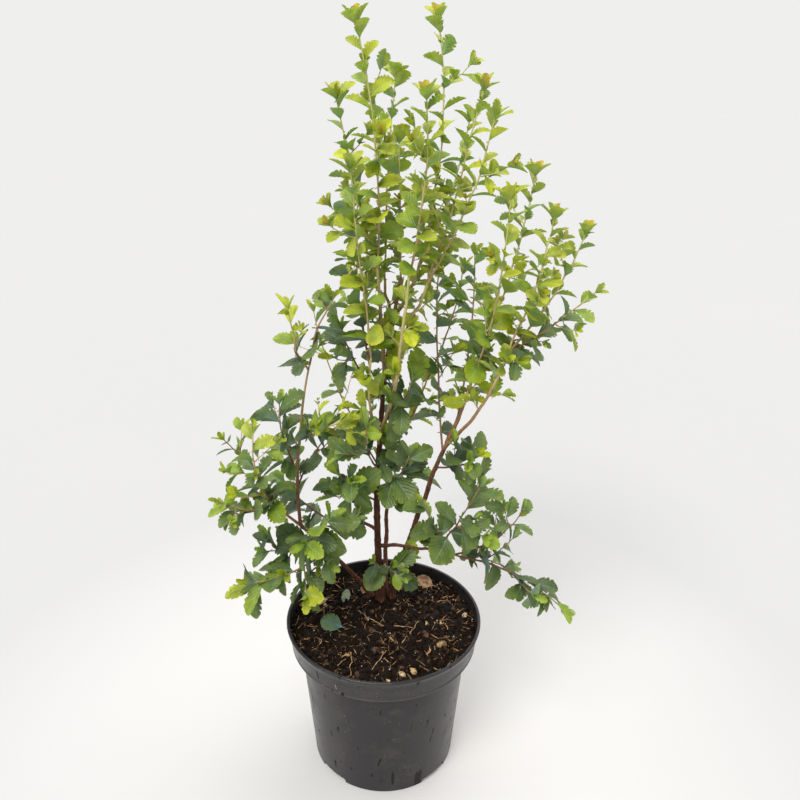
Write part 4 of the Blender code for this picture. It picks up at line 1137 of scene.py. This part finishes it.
def limb_radius(limb, length):
    """Radius along a limb: taper, root flare or branch collar, and the swellings at its knots."""
    rng = random.Random(limb.name + " knots")
    knots, place = [], rng.uniform(*KNOT_GAPS)
    while place < length:
        knots.append(place)
        place += rng.uniform(*KNOT_GAPS)

    def radius(share):
        reach = share * length
        plain = limb.foot_radius + (limb.tip_radius * LIMB_THINNING - limb.foot_radius) * share
        if limb.parent:
            plain *= 1 + COLLAR_SWELL * math.exp(-reach / COLLAR_REACH)
        else:
            plain *= 1 + FLARE * math.exp(-reach / FLARE_HEIGHT)
        swell = sum(math.exp(-(((reach - knot) / KNOT_REACH) ** 2)) for knot in knots)
        return plain * (1 + KNOT_SWELL * swell)

    return radius


def limb_paths():
    paths = {}
    for limb in LIMBS:
        start = paths[limb.parent].at(limb.at) if limb.parent else STEMS_AT + Vector((*limb.at, 0))
        paths[limb.name] = Path(start, limb.tip, limb.bow, LIMB_WAVER, limb.name)
    return paths


def strand_along(path, radius, step, lead=()):
    """Points and radii from a path's start to its rounded tip, after any points before it."""
    count = max(3, round(path.length() / step))
    strand = list(lead)
    first = LEAD_GAP * radius(0) / path.length() if lead else 0.0
    for number in range(count + 1):
        share = first + (1 - first) * number / count
        strand.append((path.at(share), radius(share)))
    return smoothly(strand, strand[-1][1], strand[-1][0])


def make_limbs(paths, shape):
    """The stems and boughs as one barked piece, each bough growing out of its parent."""
    strands = []
    for limb in LIMBS:
        path = paths[limb.name]
        radius = limb_radius(limb, path.length())
        if limb.parent:
            parent = paths[limb.parent]
            back = parent.at(limb.at - FORK_LEAD / parent.length())
            lead = [(back, radius(0) * LEAD_SIZE)]
        else:
            lead = [(path.start - Vector((0, 0, STEM_SUNK)), radius(0) * FOOT_SWELL)]
        strands.append(strand_along(path, radius, LIMB_STEP, lead))
    ages = [LIMB_YOUTH[limb.name] for limb in LIMBS]
    obj = new_object("stems_and_boughs", wire_mesh("stems_and_boughs", strands, ages))
    shape.run(obj, Sides=BARK_SIDES, Relief=0.55, Grain=620.0, Wood=bark_finish("bark", 0.80, 0.0004))
    return finished(obj, "bark", *[limb.name for limb in LIMBS])


def guard_tube(path, first, radius):
    """A plain three-sided tube round a run, to keep others off it."""
    count = max(2, round(path.length() * (1 - first) / GUARD_STEP) + 1)
    points = []
    for ring in range(count):
        share = first + (1 - first) * ring / (count - 1)
        heading = path.heading(share)
        right = heading.orthogonal().normalized()
        front = heading.cross(right)
        for side in range(GUARD_SIDES):
            angle = math.tau * side / GUARD_SIDES
            points.append(path.at(share) + radius * (math.cos(angle) * right + math.sin(angle) * front))
    return Solid(points, tube_faces(count, GUARD_SIDES))


def tree_of(solids):
    """One search tree over the faces of many shapes."""
    points, faces = [], []
    for solid in solids:
        first = len(points)
        points.extend(solid.points)
        faces.extend(tuple(first + index for index in face) for face in solid.faces)
    return BVHTree.FromPolygons(points, faces)


def sight_sheet(paths):
    """A thin sheet from the main stem to the front, to keep leaves from hiding it all the way up."""
    first, last = SIGHT_SHARES
    points = []
    for step in range(SIGHT_STEPS + 1):
        place = paths[SIGHT_LIMB].at(first + (last - first) * step / SIGHT_STEPS)
        toward = (Vector(EYE) - place).normalized()
        points += [place + toward * reach for reach in SIGHT_REACH]
    return Solid(points, [(low, low + 1, low + 3, low + 2) for low in range(0, 2 * SIGHT_STEPS, 2)])


def touches(solid, others):
    return bool(tree_of([solid]).overlap(others))


def turned_off(heading, lean, turn):
    """A direction that leans off a heading, turned about it."""
    side = Matrix.Rotation(turn, 3, heading) @ heading.orthogonal().normalized()
    return (heading * math.cos(lean) + side * math.sin(lean)).normalized()


class Reach:
    """The room that a mass of foliage keeps to: its solid's box, a little larger, or the whole."""

    def __init__(self, shoot):
        low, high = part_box(shoot.name) if shoot.tip else solid_box
        spare, edge = Vector((REACH_SPARE,) * 3), Vector((EDGE_ROOM,) * 3)
        self.low = Vector(map(max, low - spare, solid_box[0] + edge))
        self.high = Vector(map(min, high + spare, solid_box[1] - edge))

    def holds(self, point):
        return all(low <= part <= high for low, part, high in zip(self.low, point, self.high))


def make_runs(paths):
    """Every shoot's stem, its side twigs by the solids' rule, and spurs between them."""
    limbs = {limb.name: limb for limb in LIMBS}
    limb_tubes = [guard_tube(paths[limb.name], 0.0, limb.foot_radius) for limb in LIMBS]
    runs = {}
    for shoot in SHOOTS:
        path = Path(paths[shoot.limb].at(shoot.at), shoot.tip, shoot.bow, SHOOT_WAVER, shoot.name)
        first = BARE_RADII * limbs[shoot.limb].foot_radius / path.length()
        runs[shoot.name] = [Run(path, first, 0, SHOOT_RADII, 0.0)]
    for shoot in SHOOTS:
        others = limb_tubes + [guard_tube(run.path, run.first, GUARD)
                               for name, group in runs.items() if name != shoot.name for run in group]
        runs[shoot.name] += side_twigs(shoot, runs[shoot.name][0], tree_of(others))
    for spray in BOUGH_SPRAYS:
        limb = limbs[spray.limb]
        stem = Run(paths[limb.name], spray.at, 0, (limb.foot_radius, limb.tip_radius), 0.0)
        tubes = [guard_tube(run.path, run.first, GUARD) for group in runs.values() for run in group]
        others = tubes + [guard_tube(paths[other.name], 0.0, other.foot_radius) for other in LIMBS
                          if other is not limb]
        runs[spray.name] = side_twigs(spray, stem, tree_of(others), spurs=0)
    return runs


def side_twigs(shoot, stem, others, spurs=SPURS):
    """Side twigs spread round a shoot's stem, then short spurs, each clear of its neighbours."""
    rng = random.Random(shoot.name + " twigs")
    turn = rng.uniform(0, math.tau)
    reach = Reach(shoot)
    twigs, places = [], []
    for number in range(shoot.twigs):
        share = stem.first + (LAST_TWIG - stem.first) * (number + TWIG_PLACE) / shoot.twigs
        length = shoot.twig_length * (LOW_TWIG_SIZE + (TIP_TWIG_SIZE - LOW_TWIG_SIZE) * share)
        places.append((share, length * rng.uniform(*TWIG_SIZES), 1, TWIG_RADII))
    for number in range(spurs):
        share = stem.first + (LAST_TWIG - stem.first) * (number + SPUR_PLACE) / spurs
        places.append((share, rng.uniform(*SPUR_LENGTHS), 2, SPUR_RADII))
    for share, length, order, radii in places:
        foot = stem.path.at(share)
        for tried in TURNS_TRIED:
            along = turned_off(stem.path.heading(share), TWIG_LEAN, turn + math.radians(tried))
            path = Path(foot, foot + along * length, Vector((0, 0, -TWIG_SAG * length)), TWIG_WAVER,
                        f"{shoot.name} {share:.3f}")
            if reach.holds(path.tip) and not touches(guard_tube(path, NEW_TWIG_FOOT, GUARD), others):
                twigs.append(Run(path, 0.0, order, radii, share))
                break
        turn += GOLDEN_TURN
    return twigs


def run_radius(run, knots):
    """Radius along a shoot or twig, a little swollen where each leaf stands."""
    thick, thin = run.radii
    length = run.path.length()

    def radius(share):
        plain = thick + (thin - thick) * share
        swell = sum(math.exp(-((((share - knot) * length) / TWIG_KNOT_REACH) ** 2)) for knot in knots)
        return plain * (1 + TWIG_KNOT_SWELL * min(1, swell))

    return radius


def make_twigs(runs, knots, shape):
    """The shoots, side twigs and spurs as one piece."""
    strands, ages = [], []
    for shoot in SHOOTS + BOUGH_SPRAYS:
        low, high = TWIG_YOUTH[shoot.tint]
        for number, run in enumerate(runs[shoot.name]):
            radius = run_radius(run, knots[shoot.name][number])
            step = SHOOT_RING_STEP if run.order < 2 else SPUR_RING_STEP
            strands.append(strand_along(run.path, radius, step))
            ages.append((low + (high - low) * run.age, high))
    obj = new_object("shoots_and_twigs", wire_mesh("shoots_and_twigs", strands, ages))
    shape.run(obj, Sides=TWIG_SIDES, Relief=0.12, Grain=900.0, Wood=bark_finish("young_bark", 0.30, 0.00005))
    return finished(obj, "bark")


# Leaves


def blade_half(form, share):
    """Half the blade's width at a share of its length, before the teeth."""
    rise = (share / form.widest) ** form.full
    fall = ((1 - share) / (1 - form.widest)) ** (form.full * (1 - form.widest) / form.widest)
    return form.width / 2 * rise * fall


def leaf_solid(form, rng):
    """A closed thin leaf of unit length along +X with its stalk behind, folded and toothed."""
    fold = math.tan(math.radians(form.fold * rng.uniform(*FOLD_SPREAD)))
    recurve = form.recurve + rng.uniform(*RECURVE_SPREAD)
    sweep, twist = rng.uniform(-SWEEP, SWEEP), rng.uniform(-TWIST, TWIST)

    def placed(share, side, height):
        bend = max(share, 0) ** 2
        middle = Vector((share - RECURVE_PULL * abs(recurve) * bend, sweep * bend, -recurve * bend))
        return middle + Matrix.Rotation(twist * max(share, 0), 3, "X") @ Vector((0, side, height))

    rows = [(-form.stalk, STALK_HALF * 1.1), (-0.25 * form.stalk, STALK_HALF)]
    for number in range(form.rows + 1):
        share = max(FIRST_ROW, number / form.rows)
        half = blade_half(form, share) if number < form.rows else TIP_HALF
        if form.toothed <= share:
            half *= 1 - form.tooth * rng.uniform(*TOOTH_DEPTHS)
        rows.append((share, max(half, STALK_HALF if share < 0.5 else TIP_HALF)))
    points, places, faces, parts = [], [], [], []
    for number, (share, half) in enumerate(rows):
        on_blade = number > 1
        rib = min(half * WIDEST_RIB, RIB_HALF * (1.1 - 0.8 * max(share, 0)))
        keel = KEEL * (1.0 - 0.75 * max(share, 0))
        lift = fold * (1.0 - UNFOLDING * share) if on_blade else 0.0
        crown = (CROWN + PLEAT * (1 if number % 2 else -1)) * half if on_blade else STALK_TOP
        bulge = lift * half * STRIP + crown
        sides = ((-half, lift * half), (-half * STRIP, bulge), (-rib, 0.0), (rib, 0.0),
                 (half * STRIP, bulge), (half, lift * half), (0.0, -keel))
        points += [placed(share, side, height) for side, height in sides]
        places += [(share, side, 0.0) for side, _ in sides]
    strips = (BLADE, BLADE, RIB, BLADE, BLADE, UNDERSIDE, UNDERSIDE)
    count = len(strips)
    for row in range(len(rows) - 1):
        low = row * count
        teeth = {0: [], 5: []}
        for step, cut in TOOTH_SHOULDERS if row > 1 else ():
            share = rows[row][0] + (rows[row + 1][0] - rows[row][0]) * step
            if share < form.toothed and cut:
                continue
            half = blade_half(form, share) * (1 - cut * form.tooth)
            lift = fold * (1.0 - UNFOLDING * share) * half
            teeth[5].append(len(points))
            teeth[0].append(len(points) + 1)
            points += [placed(share, half, lift), placed(share, -half, lift)]
            places += [(share, half, 0.0), (share, -half, 0.0)]
        for side in range(count):
            after = (side + 1) % count
            corners = [low + side, low + after, low + count + after, low + count + side]
            corners[2:2] = teeth.get(after, [])
            corners += reversed(teeth.get(side, []))
            faces.append(tuple(corners))
            parts.append(RIB if row < 2 else strips[side])
    tip = (len(rows) - 1) * count
    faces += [tuple(range(count)), tuple(range(tip, tip + count))]
    return points, places, faces, parts + [RIB, BLADE]


def leaf_forms():
    """The collection of leaf forms, and the numbers of each kind in it."""
    group = bpy.data.collections.new("leaf_forms")
    kinds, number = {}, 0
    for kind, form in FORMS.items():
        kinds[kind] = []
        for variant in range(form.variants):
            points, places, faces, parts = leaf_solid(form, random.Random(f"{kind} {variant}"))
            name = f"leaf_{number:02d}"
            mesh = mesh_of(name, points, faces, math.radians(50))
            mesh.attributes.new("blade", "FLOAT_VECTOR", "POINT").data.foreach_set("vector", sum(places, ()))
            mesh.attributes.new("part", "INT", "FACE").data.foreach_set("value", parts)
            group.objects.link(bpy.data.objects.new(name, mesh))
            kinds[kind].append(number)
            number += 1
    return group, kinds


def leaf_places(shoot, runs):
    """Where the rule puts leaves: (run's number, share, turn, lean, length, droop, age)."""
    rng = random.Random(shoot.name + " leaves")
    for number, run in enumerate(runs):
        crowding = CROWDING[run.order]
        spacing = shoot.spacing * crowding * CLOSER[shoot.tint] * SPARSER.get(shoot.name, 1.0)
        count = max(FEWEST_LEAVES, round(run.path.length() * (1 - run.first) / spacing))
        turn = rng.uniform(0, math.tau)
        for place in range(count):
            share = run.first + (LAST_LEAF - run.first) * (place + LEAF_PLACE) / count
            age = share if run.order == 0 else TWIG_AGE + (1 - TWIG_AGE) * share
            if run.order == 2:
                age = min(1, run.age + SPUR_AGE)
            length = shoot.low_leaf + (shoot.top_leaf - shoot.low_leaf) * age
            low, high = LARGER[shoot.tint]
            length *= rng.uniform(*LEAF_SIZES) * crowding * (low + (high - low) * age)
            lean = LOW_LEAF_LEAN + (TIP_LEAF_LEAN - LOW_LEAF_LEAN) * age
            droop = shoot.droop * (1 - DROOP_LOSS * age)
            yield number, share, turn, lean, length, droop, age
            turn += GOLDEN_TURN + rng.uniform(-LEAF_TURN_SPREAD, LEAF_TURN_SPREAD)


def facing(shoot, foot, along, rng):
    """Which way a leaf's upper side looks: up and outward, rolled a little about the midrib."""
    outward = Vector((foot.x - STEMS_AT.x, foot.y - STEMS_AT.y, 0)).normalized()
    up = Vector((0, 0, 1)) + OUTWARD_FACING[shoot.tint] * outward
    up -= along * up.dot(along)
    if up.length < STEEP:
        up = along.orthogonal()
    return Matrix.Rotation(rng.uniform(-LEAF_ROLL, LEAF_ROLL), 3, along) @ up.normalized()


def blade_guard(foot, along, up, length):
    """A leaf's flat outline off its stalk, to keep leaves from crossing."""
    side = along.cross(up).normalized() * length * HALF_WIDTH
    root, widest, tip = (foot + along * length * place for place in GUARD_PLACES)
    return Solid([root, widest - side, tip, widest + side], [(0, 1, 2), (0, 2, 3)])


def tint_of(shoot, age, rng):
    """The tint dealt to a leaf by its spray's tint and how near the tip it stands."""
    first, rise = TINT_STEPS[shoot.tint]
    place = first + rise * age + rng.uniform(*TINT_SPREAD[shoot.tint])
    return TINT_ORDER[max(0, min(len(TINT_ORDER) - 1, round(place)))]


def make_leaves(shoot, runs, others, kinds):
    """Leaves, bud leaves and tip tufts along a shoot, and the shares at which they stand."""
    rng = random.Random(shoot.name + " facing")
    reach = Reach(shoot)
    stands, guards = [], []
    knots = [[] for _ in runs]
    for number, share, turn, lean, length, droop, age in leaf_places(shoot, runs):
        run = runs[number]
        foot, heading = run.path.at(share), run.path.heading(share)
        own = tree_of(guards + [guard_tube(other.path, TWIG_FOOT, GUARD) for place, other in enumerate(runs)
                                if place != number])
        for size, tried in ((size, turn_tried) for size in SHORTER for turn_tried in TURNS_TRIED):
            along = turned_off(heading, lean, turn + math.radians(tried))
            along = (along - Vector((0, 0, droop))).normalized()
            up = facing(shoot, foot, along, rng)
            guard = blade_guard(foot, along, up, length * size)
            if all(map(reach.holds, guard.points)) and not touches(guard, others) and not touches(guard, own):
                kind = "wedge" if age > WEDGE_AGE + WEDGE_SPREAD * rng.uniform(-1, 1) else "broad"
                kind = "small" if run.order == 2 else kind
                tint = tint_of(shoot, age, rng)
                stands.append(Stand(foot, along, up, length * size, rng.choice(kinds[kind]), tint))
                guards.append(guard)
                knots[number].append(share)
                if run.order < 2 and rng.random() < BUD_SHARE[shoot.tint]:
                    stands += bud_leaves(shoot, foot, heading, along, length * size, age, rng, reach, kinds)
                break
    for run in runs:
        stands += tip_tuft(shoot, run, rng, reach, kinds)
    return stands, guards, knots


def bud_leaves(shoot, foot, heading, along, length, age, rng, reach, kinds):
    """One to three small leaves in the angle between a leaf and its twig."""
    stands = []
    for _ in range(rng.randint(*BUD_COUNTS)):
        out = (heading + along * rng.uniform(*BUD_PULLS)).normalized()
        out = turned_off(out, rng.uniform(*BUD_LEANS), rng.uniform(0, math.tau))
        size = length * rng.uniform(*BUD_SIZES)
        if reach.holds(foot + out * size):
            tint = tint_of(shoot, min(1, age + BUD_AGE), rng)
            up = facing(shoot, foot, out, rng)
            stands.append(Stand(foot, out, up, size, rng.choice(kinds["small"]), tint))
    return stands


def tip_tuft(shoot, run, rng, reach, kinds):
    """Narrow young leaves round the tip of a run, upright and close."""
    stands = []
    heading = run.path.heading(1.0)
    tuft = "lime" if rng.random() < LIME_TUFTS[shoot.tint] else TUFT_TINTS[shoot.tint]
    sizes, counts = FRESH_TUFTS if shoot.tint == "fresh" else PLAIN_TUFTS
    size, count = shoot.top_leaf * sizes[run.order], counts[run.order]
    least, most = TUFT_LEANS
    start, growth = TUFT_GROWTH
    turn = rng.uniform(0, math.tau)
    foot = run.path.at(1.0) - heading * TUFT_SUNK
    for number in range(count):
        spread = number / count
        out = turned_off(heading, math.radians(least + (most - least) * spread), turn)
        inward = -(out - heading * out.dot(heading)).normalized()
        length = size * rng.uniform(*TUFT_SPREAD) * (start + growth * spread)
        while not reach.holds(foot + out * length) and length > SHORTEST_LEAF:
            length *= SHORTENING
        up = Matrix.Rotation(rng.uniform(-TUFT_ROLL, TUFT_ROLL), 3, out) @ inward
        kind = "young" if number < YOUNG_FORMS else "wedge"
        tint = "fresh" if tuft == "young" and number >= YOUNG_TINTS else tuft
        stands.append(Stand(foot, out, up, length, rng.choice(kinds[kind]), tint))
        turn += GOLDEN_TURN
    return stands


def points_mesh(name, stands):
    """Loose points that carry each leaf's kind, aim and size."""
    mesh = bpy.data.meshes.new(name)
    mesh.from_pydata([stand.foot for stand in stands], [], [])
    aims, sizes, kinds = [], [], []
    for stand in stands:
        left = stand.up.cross(stand.along).normalized()
        up = stand.along.cross(left)
        aims += Matrix((stand.along, left, up)).transposed().to_euler("XYZ")
        sizes.append(stand.length)
        kinds.append(stand.kind)
    mesh.attributes.new("aim", "FLOAT_VECTOR", "POINT").data.foreach_set("vector", aims)
    mesh.attributes.new("size", "FLOAT", "POINT").data.foreach_set("value", sizes)
    mesh.attributes.new("kind", "INT", "POINT").data.foreach_set("value", kinds)
    return mesh


def stand_leaves(name, stands, shape, forms, finishes):
    """One piece of leaves that share their finishes."""
    obj = new_object(name, points_mesh(name, stands))
    shape.run(obj, Forms=forms, Blade=finishes[0], Rib=finishes[1], Underside=finishes[2])
    for label in ("aim", "size", "kind", "part"):
        spare = obj.data.attributes.get(label)
        if spare:
            obj.data.attributes.remove(spare)
    return obj


def leaf_finishes(tint):
    """Blade, rib and underside of a tint, or of the leaf fallen on the compost."""
    blade, rib, underside, through = TINTS.get(tint, FALLEN_GREEN)
    return (leaf_finish(f"{tint}_blade", blade, through, 0.34, 0.42),
            leaf_finish(f"{tint}_rib", rib, through, 0.20, 0.50),
            leaf_finish(f"{tint}_underside", underside, through, 0.34, 0.60))


def make_foliage(paths, shape_strands, shape_leaves):
    """Twigs, and every leaf dealt into one piece for each tint."""
    runs = make_runs(paths)
    forms, kinds = leaf_forms()
    limb_tubes = [guard_tube(paths[limb.name], 0.0, limb.foot_radius) for limb in LIMBS]
    limb_tubes.append(sight_sheet(paths))
    stands, guards, knots = [], {}, {}
    for shoot in SHOOTS + BOUGH_SPRAYS:
        others = list(limb_tubes)
        for name, group in runs.items():
            if name != shoot.name:
                others.extend(guard_tube(run.path, run.first, GUARD) for run in group)
                others.extend(guards.get(name, ()))
        made = make_leaves(shoot, runs[shoot.name], tree_of(others), kinds)
        stands += made[0]
        guards[shoot.name], knots[shoot.name] = made[1:]
    make_twigs(runs, knots, shape_strands)
    for tint in TINTS:
        obj = stand_leaves(f"{tint}_leaves", [stand for stand in stands if stand.tint == tint],
                           shape_leaves, forms, leaf_finishes(tint))
        nodes = [shoot.name for shoot in SHOOTS if shoot.tint == STANDS_FOR.get(tint)]
        finished(obj, LEAF_SLOTS[tint], *nodes)
    make_fallen_leaves(shape_leaves, forms, kinds)
    drop_group(forms)


def make_fallen_leaves(shape, forms, kinds):
    """A few leaves that lie on the compost, green, pale side up and dry."""
    dry = [plain_finish(f"dry_leaf_{part}", (0.170, 0.085, 0.040), (0.430, 0.290, 0.180), 140.0, 0.75)
           for part in ("blade", "rib", "underside")]
    pale = [plain_finish(f"pale_leaf_{part}", (0.260, 0.320, 0.200), (0.400, 0.460, 0.320), 140.0, 0.60)
            for part in ("blade", "rib", "underside")]
    for look, finishes in (("green", leaf_finishes("fallen")), ("pale", pale), ("dry", dry)):
        stands = []
        for kind, (x, y), length, turn, lean, form in FALLEN:
            if kind != look:
                continue
            flat = Vector((math.cos(turn), math.sin(turn), 0))
            tilt = Matrix.Rotation(lean, 3, "X")
            along, up = tilt @ flat, tilt @ Vector((0, 0, 1))
            drop = min(0.0, along.z) * length / 2
            rise = abs(math.sin(lean)) * length * HALF_WIDTH * abs(flat.x) + FALLEN_LIFT
            foot = Vector((x, y, soil_height(x, y) + rise - drop)) - along * length / 2
            stands.append(Stand(foot, along, up, length, kinds[form][0], look))
        finished(stand_leaves(f"fallen_{look}_leaves", stands, shape, forms, finishes), "compost")


# Floor, light and camera


def make_floor():
    """A pale studio floor that runs out to a white distance."""
    solid = turned([(0, 0)] + [(radius, 0) for radius in FLOOR_RADII], 96)
    mesh = bpy.data.meshes.new("studio_floor")
    mesh.from_pydata(solid.points, [], solid.faces)
    paper = Finish("floor_paper")
    out = paper.add("ShaderNodeVectorMath", {"operation": "LENGTH"}, {0: paper.place}, out=1)
    clouds = paper.mottle(paper.place, 2.0, 2.0) * 0.1 - 0.05
    colour = paper.blend(paper.between(out, 0.10, 0.60) + clouds, FLOOR_NEAR, FLOOR_FAR)
    mesh.materials.append(paper.coat(colour, 0.85, gloss=0.0))
    floor = new_object("studio_floor", mesh)
    floor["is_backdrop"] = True


def soft_sun(name, azimuth, elevation, strength, spread, colour):
    """Even light from one side of the room."""
    lamp = bpy.data.lights.new(name, "SUN")
    lamp.energy, lamp.angle, lamp.color = strength, math.radians(spread), colour
    obj = new_object(name, lamp)
    turn, rise = math.radians(azimuth), math.radians(elevation)
    toward = Vector((math.sin(turn) * math.cos(rise), -math.cos(turn) * math.cos(rise), math.sin(rise)))
    obj.rotation_euler = toward.to_track_quat("Z", "Y").to_euler()


def make_light():
    scene = bpy.context.scene
    world = bpy.data.worlds.new("Soft room")
    world.use_nodes = True
    back = world.node_tree.nodes["Background"]
    back.inputs["Color"].default_value = ROOM_COLOUR
    back.inputs["Strength"].default_value = ROOM_STRENGTH
    scene.world = world
    scene.view_settings.view_transform = "Standard"
    for sun in SUNS:
        soft_sun(*sun)


def make_camera():
    lens = bpy.data.cameras.new("Camera")
    lens.lens, lens.sensor_width, lens.shift_x = LENS, LENS, LENS_SHIFT
    camera = new_object("Camera", lens)
    camera.location = EYE
    camera.rotation_euler = (math.radians(90 - CAMERA_DIP), 0, 0)
    bpy.context.scene.camera = camera


def main():
    make_camera()
    make_light()
    make_floor()
    make_pot()
    make_soil()
    make_litter(litter_shaper())
    make_pebbles()
    paths = limb_paths()
    strands, leaves = strand_shaper(), leaf_shaper()
    make_limbs(paths, strands)
    make_long_straws(strands)
    make_foliage(paths, strands, leaves)


main()
boxes = {"solids": solid_box, "scene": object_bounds()}
{name: [list(corner) for corner in box] for name, box in boxes.items()}
